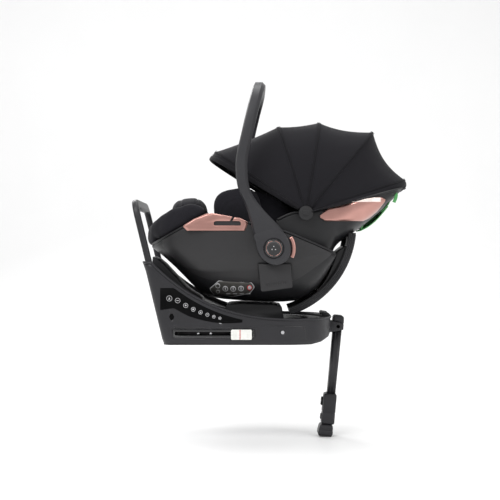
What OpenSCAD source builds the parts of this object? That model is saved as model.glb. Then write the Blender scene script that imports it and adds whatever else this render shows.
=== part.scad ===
// Infant car seat on a rotating base with a rebound bar, sliding lower-anchor arms and a support leg.
// +X points to the head end, +Y to the child's left as it lies, +Z up. The origin is on the base's
// underside, on the axis that the seat turns about. Millimetres.

/* [Carrier] */
// Width of the carrier's lower shell
carrier_w = 380; // [330:1:460]
// Wall of the lower shell and the back shell
shell_wall = 5; // [3:0.5:6.5]
// Thickness of the side fairings
fairing_t = 4; // [3:0.5:5]
// Width of the reclining back shell
back_w = 300; // [250:1:310]

/* [Carry handle] */
// Height of the handle's crossbar above its pivot
handle_rise = 443; // [440:1:540]
// Thickness of a handle arm across the seat
handle_t = 19; // [15:0.5:24]
// Width of a handle arm, seen from the side
handle_arm_w = 31; // [25:0.5:38]
// Radius of the handle's pivot pins
handle_pin_r = 14; // [11:0.5:17]
// Radius of the handle's release buttons
handle_button_r = 24; // [19:0.5:29]

/* [Canopy] */
// Width of the canopy fabric
canopy_w = 336; // [330:1:370]
// Diameter of a canopy bow
bow_d = 5; // [4:0.5:6]

/* [Base] */
// Width of the base casing
base_w = 380; // [320:1:456]
// Wall of the base casing
base_wall = 3.5; // [2.5:0.5:4.5]
// Height of the casing's rim at the front
rim_front_h = 66; // [64:1:74]
// Height of the casing's rim at the back
rim_rear_h = 218; // [190:1:230]
// Height of the rebound bar's top
bar_top_h = 390; // [350:1:430]
// Radius of the turntable
turntable_r = 148; // [130:1:152]

/* [Lower anchor arms] */
// Distance between the two anchor connectors, a standard spacing
anchor_pitch = 280; // [240:1:300]
// Width of an anchor connector
anchor_w = 26; // [22:1:30]
// Radius of the jaw that takes the 6 mm anchor bar
jaw_r = 3.2; // [3:0.1:4]

/* [Support leg] */
// Size of the leg's upper tube, front to back
leg_tube_x = 25; // [21:0.5:29]
// Size of the leg's upper tube, side to side
leg_tube_y = 36; // [30:0.5:40]
// Distance from the leg's pivot to its sole
leg_len = 306; // [260:1:360]
// Radius of the leg's hinge pin
leg_pin_r = 5; // [4:0.25:6]

/* [Hidden] */
$fn = 64;

run_gap = 0.08;        // radial clearance of a pin in its bore
pin_fit = 0.01;        // radial clearance of a pin in the piece that holds it
fit_gap = 0.5;         // clearance round a piece that slides or sits in another
skin_gap = 1;          // clearance between two skins that follow each other
eps = 0.01;

// ---- smooth curves through a few points ----
function seg(p, x, i = 0) = (i >= len(p) - 2 || x < p[i + 1][0]) ? i : seg(p, x, i + 1);
function slope(p, i) = let(a = max(i - 1, 0), b = min(i + 1, len(p) - 1))
  (p[b][1] - p[a][1]) / (p[b][0] - p[a][0]);
function curve(p, x) = let(i = seg(p, x), h = p[i + 1][0] - p[i][0],
  t = min(max((x - p[i][0]) / h, 0), 1), m0 = slope(p, i) * h, m1 = slope(p, i + 1) * h)
  (2 * t^3 - 3 * t^2 + 1) * p[i][1] + (t^3 - 2 * t^2 + t) * m0
  + (3 * t^2 - 2 * t^3) * p[i + 1][1] + (t^3 - t^2) * m1;
function spread(a, b, n) = [for (i = [0:n]) a + (b - a) * i / n];
function spow(v, e) = sign(v) * pow(abs(v), e);

// ---- closed meshes from a grid of points ----
// A grid of rings, closed round each ring, capped at both ends.
module tube_mesh(rings) {
  m = len(rings[0]);
  n = len(rings);
  polyhedron(points = [for (r = rings) each r],
    faces = [[for (j = [0:m - 1]) j],
      for (i = [0:n - 2], j = [0:m - 1]) let(a = i * m + j, b = i * m + (j + 1) % m)
        each [[a, a + m, b + m], [a, b + m, b]],
      [for (j = [m - 1:-1:0]) (n - 1) * m + j]]);
}
// Two grids of the same size, back to back, joined round their edges.
module plate_mesh(top, under) {
  n = len(top);
  m = len(top[0]);
  k = n * m;
  edge = [for (j = [0:m - 2]) [j, j + 1], for (i = [0:n - 2]) [i * m + m - 1, (i + 1) * m + m - 1],
    for (j = [m - 1:-1:1]) [(n - 1) * m + j, (n - 1) * m + j - 1],
    for (i = [n - 1:-1:1]) [i * m, (i - 1) * m]];
  polyhedron(points = concat([for (r = top) each r], [for (r = under) each r]),
    faces = [for (i = [0:n - 2], j = [0:m - 2]) let(a = i * m + j)
        each [[a, a + m, a + m + 1], [a, a + m + 1, a + 1],
          [k + a, k + a + m + 1, k + a + m], [k + a, k + a + 1, k + a + m + 1]],
      for (e = edge) each [[e[0], e[1], k + e[1]], [e[0], k + e[1], k + e[0]]]]);
}
module mirror_y(copies = true) {
  children();
  if (copies) mirror([0, 1, 0]) children();
}
// An outline in the XZ plane, made solid between two values of y.
module side_plate(y0, y1) translate([0, y1, 0]) rotate([90, 0, 0]) linear_extrude(y1 - y0) children();
module y_cyl(x, z, r, y0, y1) translate([x, y0, z]) rotate([-90, 0, 0]) cylinder(r = r, h = y1 - y0);

// ================= bucket shells =================
// A bucket's cross-section is half a superellipse hung from its rim.
bucket_n = 3;
function bucket_y(w, zr, zb, z) =
  w * pow(max(0, 1 - pow(min(1, max(0, (zr - z) / (zr - zb))), bucket_n)), 1 / bucket_n);
function bucket_ring(x, w, zr, zb, m) = [for (j = [0:m]) let(a = 180 * j / m)
  [x, -w * spow(cos(a), 2 / bucket_n), zr - (zr - zb) * spow(sin(a), 2 / bucket_n)]];
// p gives the bucket's half-width, rim and keel curves: [width, rim, keel].
function bucket_skin(p, xs, inset, m) = [for (x = xs)
  bucket_ring(x, curve(p[0], x) - inset, curve(p[1], x), curve(p[2], x) + inset, m)];
module bucket(p, xs, wall, m = 18) {
  inner_xs = spread(xs[0] + wall, xs[len(xs) - 1] - wall, len(xs) - 1);
  plate_mesh(bucket_skin(p, xs, 0, m), bucket_skin(p, inner_xs, wall, m));
}
// The bucket's outer form as one solid, grown by g: what another piece is cut back from.
module bucket_form(p, xs, g, m = 18) {
  tube_mesh([for (x = xs) [for (q = bucket_ring(x, curve(p[0], x) + g, curve(p[1], x) + g,
    curve(p[2], x) - g, m)) q]]);
}

half_w = carrier_w / 2;
shell_swell = 0.008;               // how far the shell swells past its nominal half-width
side_in = half_w * (1 + shell_swell) + skin_gap;
// Lower shell: half-width, rim height and keel height along x.
foot_x = -305;
tail_x = 188;
lower = [
  [[foot_x, half_w * 0.36], [-285, half_w * 0.62], [-250, half_w * 0.82], [-190, half_w * 0.95],
    [-110, half_w], [40, half_w], [120, half_w * 0.96], [tail_x, half_w * 0.88]],
  [[foot_x, 268], [-275, 280], [-220, 309], [-160, 337], [-130, 341], [-66, 329], [-40, 320],
    [46, 300], [110, 275], [tail_x, 241]],
  [[foot_x, 252], [-285, 238], [-249, 206], [-223, 180], [-197, 153], [-171, 130], [-131, 117],
    [-66, 111], [12, 107], [65, 108], [104, 116], [143, 145], [169, 184], [182, 212], [tail_x, 228]]];
lower_xs = spread(foot_x, tail_x, 30);
function lower_y(x, z) = bucket_y(curve(lower[0], x), curve(lower[1], x), curve(lower[2], x), z);

// The back shell turns about the recline axis, inside the lower shell.
recline_x = -8;
recline_z = 318;
half_b = back_w / 2;
back_x0 = 30;
back_x1 = 374;
back = [
  [[back_x0, half_b], [190, half_b], [240, half_b * 1.13], [320, half_b * 1.08],
    [355, half_b * 0.88], [back_x1, half_b * 0.6]],
  [[back_x0, 330], [70, 348], [107, 354], [184, 366], [277, 391], [back_x1, 418]],
  [[back_x0, 136], [60, 131], [100, 139], [140, 166], [175, 212], [192, 254], [225, 284],
    [267, 312], [337, 374], [back_x1, 412]]];
back_xs = spread(back_x0, back_x1, 26);
function back_y(x, z) = bucket_y(curve(back[0], x), curve(back[1], x), curve(back[2], x), z);

module lower_shell() color("#26262a") bucket(lower, lower_xs, shell_wall);
module back_shell() color("#2b2b30") bucket(back, back_xs, shell_wall);

// ================= carrier trim =================
pivot_x = 22;
pivot_z = 254;
handle_in = half_w + 12;           // inner face of a handle arm
handle_out = handle_in + handle_t;
hub_r = 45;                        // round end of a handle arm
hub_disc_r = 40;
trim_out = handle_in - 2.5;        // outermost plane of what a handle arm passes over

// Side fairing: from the rim down to this line.
fairing_low = [[-275, 262], [-250, 233], [-197, 190], [-145, 171], [-80, 161], [0, 158], [70, 166],
  [140, 210], [178, 240]];
fairing_xs = spread(-274, 176, 26);
guide_outline = [[-217, 313], [-189, 331], [-158, 344], [-139, 347], [-66, 334], [-43, 323],
  [-53, 300], [-205, 300]];
socket_outline = [[-19, 214], [67, 214], [72, 151], [-11, 140]];

module fairing_skin() {
  rows = 8;
  grid = [for (g = [skin_gap, skin_gap + fairing_t]) [for (x = fairing_xs)
    let(top = curve(lower[1], x) - 1, low = min(curve(fairing_low, x), top - 1.5))
    [for (j = [0:rows]) let(z = top + (low - top) * j / rows) [x, -(lower_y(x, z) + g), z]]]];
  plate_mesh(grid[1], grid[0]);
}
module side_fairing() color("#3c3c40") difference() {
  fairing_skin();
  side_plate(-half_w - 40, 0) offset(delta = skin_gap) polygon(guide_outline);
  side_plate(-half_w - 40, 0) offset(delta = skin_gap) polygon(socket_outline);
  y_cyl(pivot_x, pivot_z, hub_disc_r + skin_gap, -half_w - 40, 0);
}

// Lap-belt guide: a plate on the shell's side with an open hook slot.
slot_x = [-127, -72];
slot_z = [313, 325];
module belt_guide() color("#d9a594") difference() {
  side_plate(-trim_out, -side_in) polygon(guide_outline);
  side_plate(-trim_out - 1, -half_w) hull() for (x = slot_x) translate([x, (slot_z[0] + slot_z[1]) / 2])
    circle(r = (slot_z[1] - slot_z[0]) / 2, $fn = 32);
  // the angled way in for the belt, from the top edge down to the slot
  side_plate(-trim_out - 1, -half_w) polygon([[-94, 318], [-87, 318], [-70, 350], [-77, 350]]);
}

// Rose trim behind the handle's hub: part of a ring round the pivot.
trim_r = [48, 58];
module hub_trims() color("#d9a594") mirror_y() {
  translate([pivot_x, -half_w - skin_gap - fairing_t - 0.8, pivot_z]) rotate([90, 0, 0])
    rotate([0, 0, -27]) rotate_extrude(angle = 61)
      translate([trim_r[0], 0])
        square([trim_r[1] - trim_r[0], trim_out - half_w - skin_gap - fairing_t - 0.8]);
}

// Socket under the hub that takes a pushchair adapter from below.
pocket = [-4, 56];       // the pocket along x
pocket_in = 13;          // its depth across the seat
pocket_top = 200;
module adapter_socket() color("#45454a") difference() {
  side_plate(-trim_out, -half_w * 0.66) polygon(socket_outline);
  bucket_form(lower, lower_xs, fit_gap);
  translate([pocket[0], -trim_out + 3, 100]) cube([pocket[1] - pocket[0], pocket_in, pocket_top - 100]);
}

// Discs and pins that carry the handle.
pin_end = handle_out - 7;
module pivot_hubs() color("#2a2a2e") mirror_y() {
  y_cyl(pivot_x, pivot_z, hub_disc_r, -handle_in + 0.5, -half_w - 0.5);
  y_cyl(pivot_x, pivot_z, handle_pin_r, -pin_end, -handle_in + 0.5 + eps);
}

// ================= carry handle =================
handle_lean = [[0, 0], [48, -18], [100, -48], [126, -63], [152, -76], [178, -82], [204, -84],
  [230, -84], [256, -80], [282, -74], [335, -62], [390, -49], [443, -35]];
handle_n = 5;            // squareness of the arch
function arch_w(h) = h > 150 ? handle_arm_w
  : handle_arm_w + (2 * hub_r - 6 - handle_arm_w) * (1 + cos(180 * h / 150)) / 2;
function handle_ring(a) = let(
    y0 = (handle_in + handle_out) / 2,
    r = pow(pow(abs(cos(a)), handle_n) + pow(abs(sin(a)), handle_n), -1 / handle_n),
    cu = r * cos(a), su = r * sin(a), y = -y0 * cu, h = handle_rise * su,
    // normal of the superellipse in the yz plane
    ny = -sign(cu) * pow(abs(cu), handle_n - 1) / y0, nz = pow(abs(su), handle_n - 1) / handle_rise,
    l = sqrt(ny * ny + nz * nz), xc = pivot_x + curve(handle_lean, h * 443 / handle_rise),
    w = arch_w(h) / 2, t = handle_t / 2 - 0.2)
  [for (j = [0:11]) let(b = -30 * j, u = w * spow(cos(b), 0.6), v = t * spow(sin(b), 0.6))
    [xc + u, y + v * ny / l, pivot_z + h + v * nz / l]];
module carry_handle() color("#3f3f44") difference() {
  union() {
    tube_mesh([for (k = [0:44]) handle_ring(180 * k / 44)]);
    mirror_y() y_cyl(pivot_x, pivot_z, hub_r, -handle_out, -handle_in);
  }
  mirror_y() {
    y_cyl(pivot_x, pivot_z, handle_pin_r + run_gap, -handle_out - 1, -handle_in + 1);
    y_cyl(pivot_x, pivot_z, handle_button_r + fit_gap, -handle_out - 1, -pin_end - 0.6);
  }
}
button_travel = 3;
module handle_button() color("#131315") {
  y_cyl(pivot_x, pivot_z, handle_button_r, -handle_out - 1.2, -pin_end - 0.8 - button_travel);
}

// ================= recline band =================
band_r = [235, 255];
band_half = 110;
band_span = [-72, -5];
band_skin = 5.5;
rib_gap = 6;             // degrees from one rib to the next
module band_arc(from, to, r0, r1, half) translate([recline_x, half, recline_z]) rotate([90, 0, 0])
  rotate([0, 0, from]) rotate_extrude(angle = to - from, $fn = 240)
    translate([r0, 0]) square([r1 - r0, 2 * half]);
module recline_band() color("#33333a") difference() {
  band_arc(band_span[0], band_span[1], band_r[0], band_r[1], band_half);
  for (k = [0:10]) band_arc(band_span[0] + 0.7 + rib_gap * k, band_span[0] + rib_gap * (k + 1),
    band_r[0] - 1, band_r[1] - band_skin, band_half - 9);
  bucket_form(back, back_xs, 0.4);
}

// Rose panels at the head end.
panel_top = [[146, 342], [160, 355], [184, 370], [224, 380], [277, 389], [305, 392], [320, 384]];
panel_low = [[146, 336], [160, 327], [262, 327], [280, 335], [300, 352], [320, 380]];
module back_panel() color("#c79a8c") {
  rows = 10;
  grid = [for (g = [skin_gap, skin_gap + 4]) [for (x = spread(147, 319, 22))
    [for (j = [0:rows]) let(top = min(curve(panel_top, x), curve(back[1], x) - 1),
      z = top + (lookup(x, panel_low) - top) * j / rows) [x, -(back_y(x, z) + g), z]]]];
  plate_mesh(grid[1], grid[0]);
}

// Green pull handle behind the head end.
module release_handle() color("#5aa35a") {
  side_plate(-62, 62) polygon([for (t = [0:6]) let(x = 262 + 74 * t / 6)
      [x + 3, curve(back[2], x) - 4.5],
    for (t = [6:-1:0]) let(x = 262 + 74 * t / 6)
      [x + 3, curve(back[2], x) - 7 - 8 * sin(180 * t / 6)]]);
}

// ================= soft pieces =================
liner_x = [-292, 12];
liner_wall = 14;
liner = [[for (q = lower[0]) [q[0], q[1] - shell_wall - 2]], lower[1],
  [for (q = lower[2]) [q[0], q[1] + shell_wall + 2]]];
// Height of the padded roll's crest, and of the rim that it stands on.
roll_crest = [[-325, 296], [-305, 318], [-270, 345], [-240, 361], [-200, 371], [-170, 367],
  [-140, 350]];
function roll_ring(a) = let(c = cos(a), s = sin(a),
    cx = -140 - 168 * spow(s, 0.8), y = -(half_w - 22) * spow(c, 0.8),
    foot = curve(lower[1], max(cx, -276)) + 3, top = max(curve(roll_crest, cx), foot + 10))
  [for (j = [0:9]) let(b = 36 * j, u = 15 * cos(b))
    [cx - u * s, y - u * c, (top + foot) / 2 + (top - foot) / 2 * spow(sin(b), 0.8)]];
module seat_liner() color("#303034") {
  bucket(liner, spread(liner_x[0], liner_x[1], 18), liner_wall, 14);
  tube_mesh([for (k = [0:24]) roll_ring(4 + 172 * k / 24)]);
}
// A cushion with a superellipse outline that rests on a height and has a crowned top.
module pillow(c, size, power = 0.7) {
  translate(c) tube_mesh([for (i = [0:8]) let(a = -80 + 20 * i, r = cos(a))
    [for (j = [0:15]) let(b = 22.5 * j)
      [size[0] / 2 * r * spow(cos(b), power), size[1] / 2 * r * spow(sin(b), power), size[2] / 2 * sin(a)]]]);
}
module leg_cushion() color("#232327") translate([-207, 0, 352]) rotate([0, -6, 0])
  pillow([0, 0, 0], [104, 250, 92]);
module infant_insert() color("#232327") mirror_y() translate([-72, -132, 350]) rotate([0, -9, 0])
  pillow([0, 0, 0], [140, 46, 138]);

strap_w = 38;
strap_t = 2.4;
strap_foot = curve(liner[2], -112) + liner_wall + 0.6;
module crotch_strap() color("#1b1b1d")
  side_plate(-strap_w / 2, strap_w / 2)
    polygon([[-112, strap_foot], [-112 + strap_t, strap_foot], [-98 + strap_t, 205], [-98, 205]]);
buckle = [-104, 205];
module harness_buckle() color("#151517") difference() {
  translate([buckle[0] - 4, -31, buckle[1]]) cube([20, 62, 62]);
  translate([buckle[0] + 8, -15, buckle[1] + 20]) cube([20, 30, 28]);
}
module buckle_button() color("#b3262b")
  translate([buckle[0] + 8 + 3.5, -14.5, buckle[1] + 20.5]) cube([7, 29, 27]);
adjuster_x = -212;
module adjuster_button() color("#8a8a8e")
  translate([adjuster_x, -13, curve(liner[2], adjuster_x) + liner_wall]) rotate([0, 46, 0])
    translate([-11, 0, 1.5]) cube([22, 26, 7]);

back_liner_x = [46, 352];
back_liner_wall = 14;
back_liner_rise = 6;     // height of the cushion over the shell's floor, which is steep at the waist
module back_cushion() color("#28282c")
  bucket([[for (q = back[0]) [q[0], q[1] - shell_wall - 2]], back[1],
    [for (q = back[2]) [q[0], q[1] + shell_wall + back_liner_rise]]],
    spread(back_liner_x[0], back_liner_x[1], 26), back_liner_wall, 14);
module headrest() color("#232327") translate([236, 0, 341]) rotate([0, -40, 0]) {
  pillow([0, 0, 0], [120, 190, 26]);
  mirror_y() pillow([-6, -98, 30], [112, 34, 66]);
}
module shoulder_pads() color("#2c2c30") mirror_y() translate([112, -44, 226]) rotate([0, -38, 0])
  pillow([0, 0, 0], [150, 52, 16]);

// ================= canopy =================
canopy_x = 108;
canopy_z = 348;
half_c = canopy_w / 2;
canopy_n = 3;
// Fold lines: [angle above +x, reach]. The last is fixed to the back shell's rim.
bows = [[145, 300], [106.4, 252], [80.5, 257], [49.9, 297], [18.6, 296]];
visor = [153, 303];
gore_sag = [3, 4, 9, 16];
gore_t = 2;
fold_n = 14;
function on_bow(angle, reach, half, a) = let(r = reach * spow(sin(a), 2 / canopy_n))
  [canopy_x + r * cos(angle), -half * spow(cos(a), 2 / canopy_n), canopy_z + r * sin(angle)];
function toward_hub(p, d) = let(v = [p[0] - canopy_x, 0, p[2] - canopy_z], l = norm(v))
  l < 1 ? p : p - v / l * min(d, l);
function gore_grid(from, to, sag, inset) = [for (i = [0:6]) let(t = 0.01 + 0.98 * i / 6)
  [for (j = [0:fold_n]) let(a = 6 + 168 * j / fold_n,
      p = on_bow(from[0], from[1] - inset, half_c - inset, a),
      q = on_bow(to[0], to[1] - inset, half_c - inset, a))
    toward_hub(p * (1 - t) + q * t, 4 * t * (1 - t) * sag * sin(a))]];
module gore(k) color("#29292d")
  plate_mesh(gore_grid(bows[k], bows[k + 1], gore_sag[k], gore_t),
    gore_grid(bows[k], bows[k + 1], gore_sag[k], 0));
module canopy_visor() color("#29292d")
  plate_mesh(gore_grid(visor, bows[0], 0, gore_t), gore_grid(visor, bows[0], 0, 0));
eye_t = 2.4;
eye_r = 8;
rivet_r = 3;
function eye_y(k) = half_b + 1.2 + k * (eye_t + 0.5);    // inner face of bow k's eyelet
module canopy_bow(k) color("#5a5a60") {
  half = eye_y(k) + eye_t / 2;
  clear = bow_d / 2 + gore_t + 4;
  turn = k == 0 ? 2 : 0;
  difference() {
    union() {
      tube_mesh([for (j = [0:30]) let(a = 1.2 + 177.6 * j / 30, d = 0.5,
          p = on_bow(bows[k][0] + turn, bows[k][1] - clear, half, a),
          q = on_bow(bows[k][0] + turn, bows[k][1] - clear, half, a + d),
          t = (q - p) / norm(q - p), u = [-sin(bows[k][0] + turn), 0, cos(bows[k][0] + turn)],
          v = cross(t, u))
        [for (i = [0:7]) p + u * (bow_d / 2 * cos(45 * i)) + v * (eye_t / 2 * sin(45 * i))]]);
      mirror_y() y_cyl(canopy_x, canopy_z, eye_r, -half - eye_t / 2, -half + eye_t / 2);
    }
    mirror_y() y_cyl(canopy_x, canopy_z, rivet_r + run_gap, -half - 10, -half + 10);
  }
}
module canopy_rivets() color("#1d1d20") mirror_y() {
  y_cyl(canopy_x, canopy_z, rivet_r, -eye_y(4) - 0.3, -half_b - 0.4);
  y_cyl(canopy_x, canopy_z, 7, -eye_y(4) - 1.8, -eye_y(4) - 0.3 + eps);
}

// ================= base =================
half_base = base_w / 2;
lean = 0.242;                       // backward lean of the base's rear face, x over z
rear_x = -269;
front_x = 183;
rim_flat_x = 117;                   // the rim is level in front of this
function rear_face(z) = rear_x - lean * z;
rim_rear_x = rear_face(rim_rear_h) + 20;
function rim_z(x) = x > rim_flat_x ? rim_front_h : rim_front_h
  + (rim_rear_h - rim_front_h) * pow((rim_flat_x - x) / (rim_flat_x - rim_rear_x), 2.8);
function rim_line(drop) = [for (i = [0:24]) let(x = rim_rear_x + (rim_flat_x - rim_rear_x) * i / 24)
  [x, rim_z(x) - drop]];
function plan_edge(inset) = [for (i = [0:32]) let(a = -90 + 180 * i / 32, n = 2.4)
  [40 + (front_x - 40 - inset) * spow(cos(a), 2 / n), (half_base - inset) * spow(sin(a), 2 / n)]];
module plan_area(inset) polygon(concat([[-360, half_base - inset], [-360, -half_base + inset]],
  plan_edge(inset)));
module casing_side() polygon(concat([[rear_x, 0], [rear_face(rim_rear_h), rim_rear_h]], rim_line(0),
  [[front_x + 2, rim_front_h], [front_x + 2, 34], [front_x - 10, 16], [150, 5], [122, 0]]));
module casing_hollow() polygon(concat([[rear_x + base_wall + 1, base_wall],
  [rear_face(600) + base_wall + 1, 600], [front_x + 2, 600], [front_x + 2, 36],
  [front_x - 12, 19], [148, 5 + base_wall], [120, base_wall]]));

// Channel under the base that the support leg folds into.
channel_half = leg_tube_y / 2 + 12;
channel_h = 43.5;
channel_x = -135;
leg_pivot = [204, 38];
ear_y = [leg_tube_y / 2 + 5, leg_tube_y / 2 + 14];
post_at = [[110, 98], [-118, 96]];
arm_z = [15, 37];
arm_y = anchor_pitch / 2;
slot_trim_x = [-244, -28];
slot_trim_z = [19, 41];
module ear_side() hull() {
  translate([leg_pivot[0], leg_pivot[1]]) circle(r = leg_pin_r + 7, $fn = 32);
  translate([front_x - 22, 22]) square([14, 32]);
}
module base_casing() color("#34343a") difference() {
  union() {
    difference() {
      intersection() {
        side_plate(-half_base, half_base) casing_side();
        linear_extrude(700) plan_area(0);
      }
      difference() {
        intersection() {
          side_plate(-half_base, half_base) casing_hollow();
          linear_extrude(700) plan_area(base_wall);
        }
        translate([channel_x - 3, -channel_half - 3, 0])
          cube([front_x - channel_x + 10, 2 * channel_half + 6, channel_h + 3]);
        for (p = post_at) mirror_y() translate([p[0], -p[1], 0]) cylinder(r = 8, h = ring_z[0]);
      }
      // the rear wall is low between the rebound bar's legs
      translate([-400, -half_base + 40, 196]) cube([200, 2 * half_base - 80, 200]);
    }
    for (m = [0, 1]) mirror([0, m, 0]) side_plate(ear_y[0], ear_y[1]) ear_side();
  }
  translate([channel_x, -channel_half, -1])
    cube([front_x - channel_x - 24, 2 * channel_half, channel_h + 1]);
  translate([front_x - 30, -ear_y[0], -1]) cube([60, 2 * ear_y[0], 100]);
  translate([front_x - 30, -channel_half, -1]) cube([60, 2 * channel_half, 20]);
  y_cyl(leg_pivot[0], leg_pivot[1], leg_pin_r, -ear_y[1] - 1, ear_y[1] + 1);
  // way out for the anchor arms
  mirror_y() translate([rear_x - 40, -arm_y - anchor_w / 2 - 4, arm_z[0] - 4])
    cube([60, anchor_w + 8, arm_z[1] - arm_z[0] + 8]);
  // side slots
  mirror_y() translate([slot_trim_x[0], -half_base - 1, slot_trim_z[0]])
    cube([slot_trim_x[1] - slot_trim_x[0], base_wall + 2, slot_trim_z[1] - slot_trim_z[0]]);
  // screw holes
  mirror_y() for (h = screw_at) y_cyl(h[0], h[1], screw_r + 1.2, -half_base - 1, -half_base + base_wall + 1);
}
screw_at = [[-118, 60], [46, 33], [-246, 74]];
screw_r = 4.5;
module base_screws() color("#1c1c1f") mirror_y() for (h = screw_at) difference() {
  y_cyl(h[0], h[1], screw_r, -half_base + 1, -half_base + base_wall + 9);
  translate([h[0], -half_base, h[1]]) rotate([90, 0, 0]) cylinder(r = 2.4, h = 5, center = true, $fn = 6);
}

// Rebound bar: a flat hoop in the plane of the base's rear face.
bar_t = 17;
bar_w = 23;
bar_half = half_base - base_wall - 1;
bar_foot = 165;
module bar_flat() {
  up = (bar_top_h) / cos(atan(lean)) - (bar_foot) / cos(atan(lean));
  difference() {
    offset(r = 55, $fn = 48) translate([-bar_half + 55, -60]) square([2 * bar_half - 110, up + 60 - 55]);
    offset(r = 34, $fn = 48) translate([-bar_half + bar_w + 34, -80])
      square([2 * (bar_half - bar_w - 34), up + 80 - 34 - 38]);
    translate([-500, -300]) square([1000, 300]);
  }
}
module in_bar_plane(d) translate([rear_face(bar_foot) + d, 0, bar_foot]) rotate([0, -atan(lean), 0])
  rotate([90, 0, 90]) children();
module rebound_bar() color("#3a3a40") in_bar_plane(base_wall + 2) linear_extrude(bar_t) bar_flat();

deck_drop = 12;
deck_t = 3.5;
ring_z = [47, 62];
ring_out = turntable_r + 17;
module base_deck() color("#1f1f23") difference() {
  intersection() {
    side_plate(-half_base, half_base) polygon(concat(rim_line(deck_drop),
      [[front_x - 8, rim_front_h - deck_drop], [front_x - 8, rim_front_h - deck_drop - deck_t]],
      [for (i = [24:-1:0]) rim_line(deck_drop + deck_t)[i]]));
    linear_extrude(600) plan_area(base_wall + fit_gap);
  }
  translate([0, 0, -1]) cylinder(r = ring_out + fit_gap, h = 300);
  mirror_y() in_bar_plane(base_wall + 1) linear_extrude(bar_t + 2) translate([-half_base, -50])
    square([bar_w + 10, 150]);
  translate([front_x - 31, -ear_y[1] - fit_gap, 0]) cube([60, 2 * (ear_y[1] + fit_gap), 100]);
}
lever_z = [71, 80];
module bearing_ring() color("#2a2a2e") {
  difference() {
    translate([0, 0, ring_z[0]]) cylinder(r = ring_out, h = ring_z[1] - ring_z[0]);
    translate([0, 0, ring_z[0] - 1]) cylinder(r = turntable_r - 10, h = 30);
    translate([0, 0, ring_z[0] + 4]) cylinder(r = turntable_r + run_gap, h = 30);
    mirror_y() for (p = post_at) translate([p[0], -p[1], ring_z[0] - 1]) cylinder(r = 2, h = 8);
    translate([front_x - 24, -ear_y[1] - fit_gap, ring_z[0] - 1])
      cube([60, 2 * (ear_y[1] + fit_gap), 30]);
  }
}
module slot_trims() color("#121214") mirror_y() difference() {
  translate([slot_trim_x[0] + 0.3, -half_base + 0.4, slot_trim_z[0] + 0.3])
    cube([slot_trim_x[1] - slot_trim_x[0] - 0.6, base_wall + 3, slot_trim_z[1] - slot_trim_z[0] - 0.6]);
  translate([slot_trim_x[0] + 5, -half_base - 1, slot_trim_z[0] + 5.5])
    cube([slot_trim_x[1] - slot_trim_x[0] - 10, base_wall + 9, 11]);
}
// Lever at the front that frees the turntable. It turns up about its front edge.
lever_pivot = [179, 72];
module turn_lever() color("#2c2c30") {
  mirror_y() y_cyl(lever_pivot[0], lever_pivot[1], 4, -ear_y[1] - 26, -ear_y[1] - 3);
  for (m = [0, 1]) mirror([0, m, 0]) side_plate(ear_y[1] + 3, ear_y[1] + 26)
    polygon([[158, rim_front_h + 2], [156, lever_z[1] - 3], [161, lever_z[1]], [176, lever_z[1] - 3],
      [181, rim_front_h + 6],
      [180, rim_front_h + 2]]);
  side_plate(-ear_y[1] - 3.1, ear_y[1] + 3.1) polygon([[158, rim_front_h + 8], [157, lever_z[1] - 3],
    [161, lever_z[1]], [168, lever_z[1] - 1], [168, rim_front_h + 8]]);
}

// Turntable, and the dock that the carrier clicks onto.
disc_z = [ring_z[0] + 4.2, 64];
dock_top = 104;
module turntable_disc() color("#2d2d32") difference() {
  translate([0, 0, disc_z[0]]) cylinder(r = turntable_r, h = disc_z[1] - disc_z[0]);
  for (a = [30:60:330]) rotate([0, 0, a]) translate([turntable_r - 22, 0, disc_z[1] - 3])
    cylinder(r = 9, h = 5);
}
dock_half = 96;
hook_x = [-84, 34];
dock_line = [[-116, disc_z[1]], [-104, dock_top - 2], [-60, dock_top + 2], [20, dock_top - 1],
  [46, dock_top - 6], [52, disc_z[1]]];
dock_wall = 4;
hook_side = [58, 72];
module carrier_dock() color("#232327") difference() {
  side_plate(-dock_half, dock_half) polygon(dock_line);
  difference() {
    side_plate(-dock_half + dock_wall, dock_half - dock_wall)
      polygon([[-116 + dock_wall + 1, disc_z[1] - 1], [-101, dock_top - 6], [-60, dock_top - 2],
        [18, dock_top - 5], [42, dock_top - 9], [47, disc_z[1] - 1]]);
    for (x = hook_x) mirror_y() translate([x - 13, -hook_side[1] - 4, disc_z[1] - 2])
      cube([26, hook_side[1] - hook_side[0] + 8, 60]);
  }
  for (x = hook_x) mirror_y() translate([x - 9, -hook_side[1], disc_z[1] + 6])
    cube([18, hook_side[1] - hook_side[0], 60]);
}
module dock_hooks() color("#9a9aa0") for (x = hook_x) mirror_y()
  side_plate(-hook_side[1] + 2, -hook_side[0] - 2)
    polygon([[x - 8, disc_z[1] + 6], [x + 4, disc_z[1] + 6], [x + 4, 90], [x + 8, 90], [x + 8, 96],
      [x + 2, 101], [x - 6, 97]]);

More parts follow.
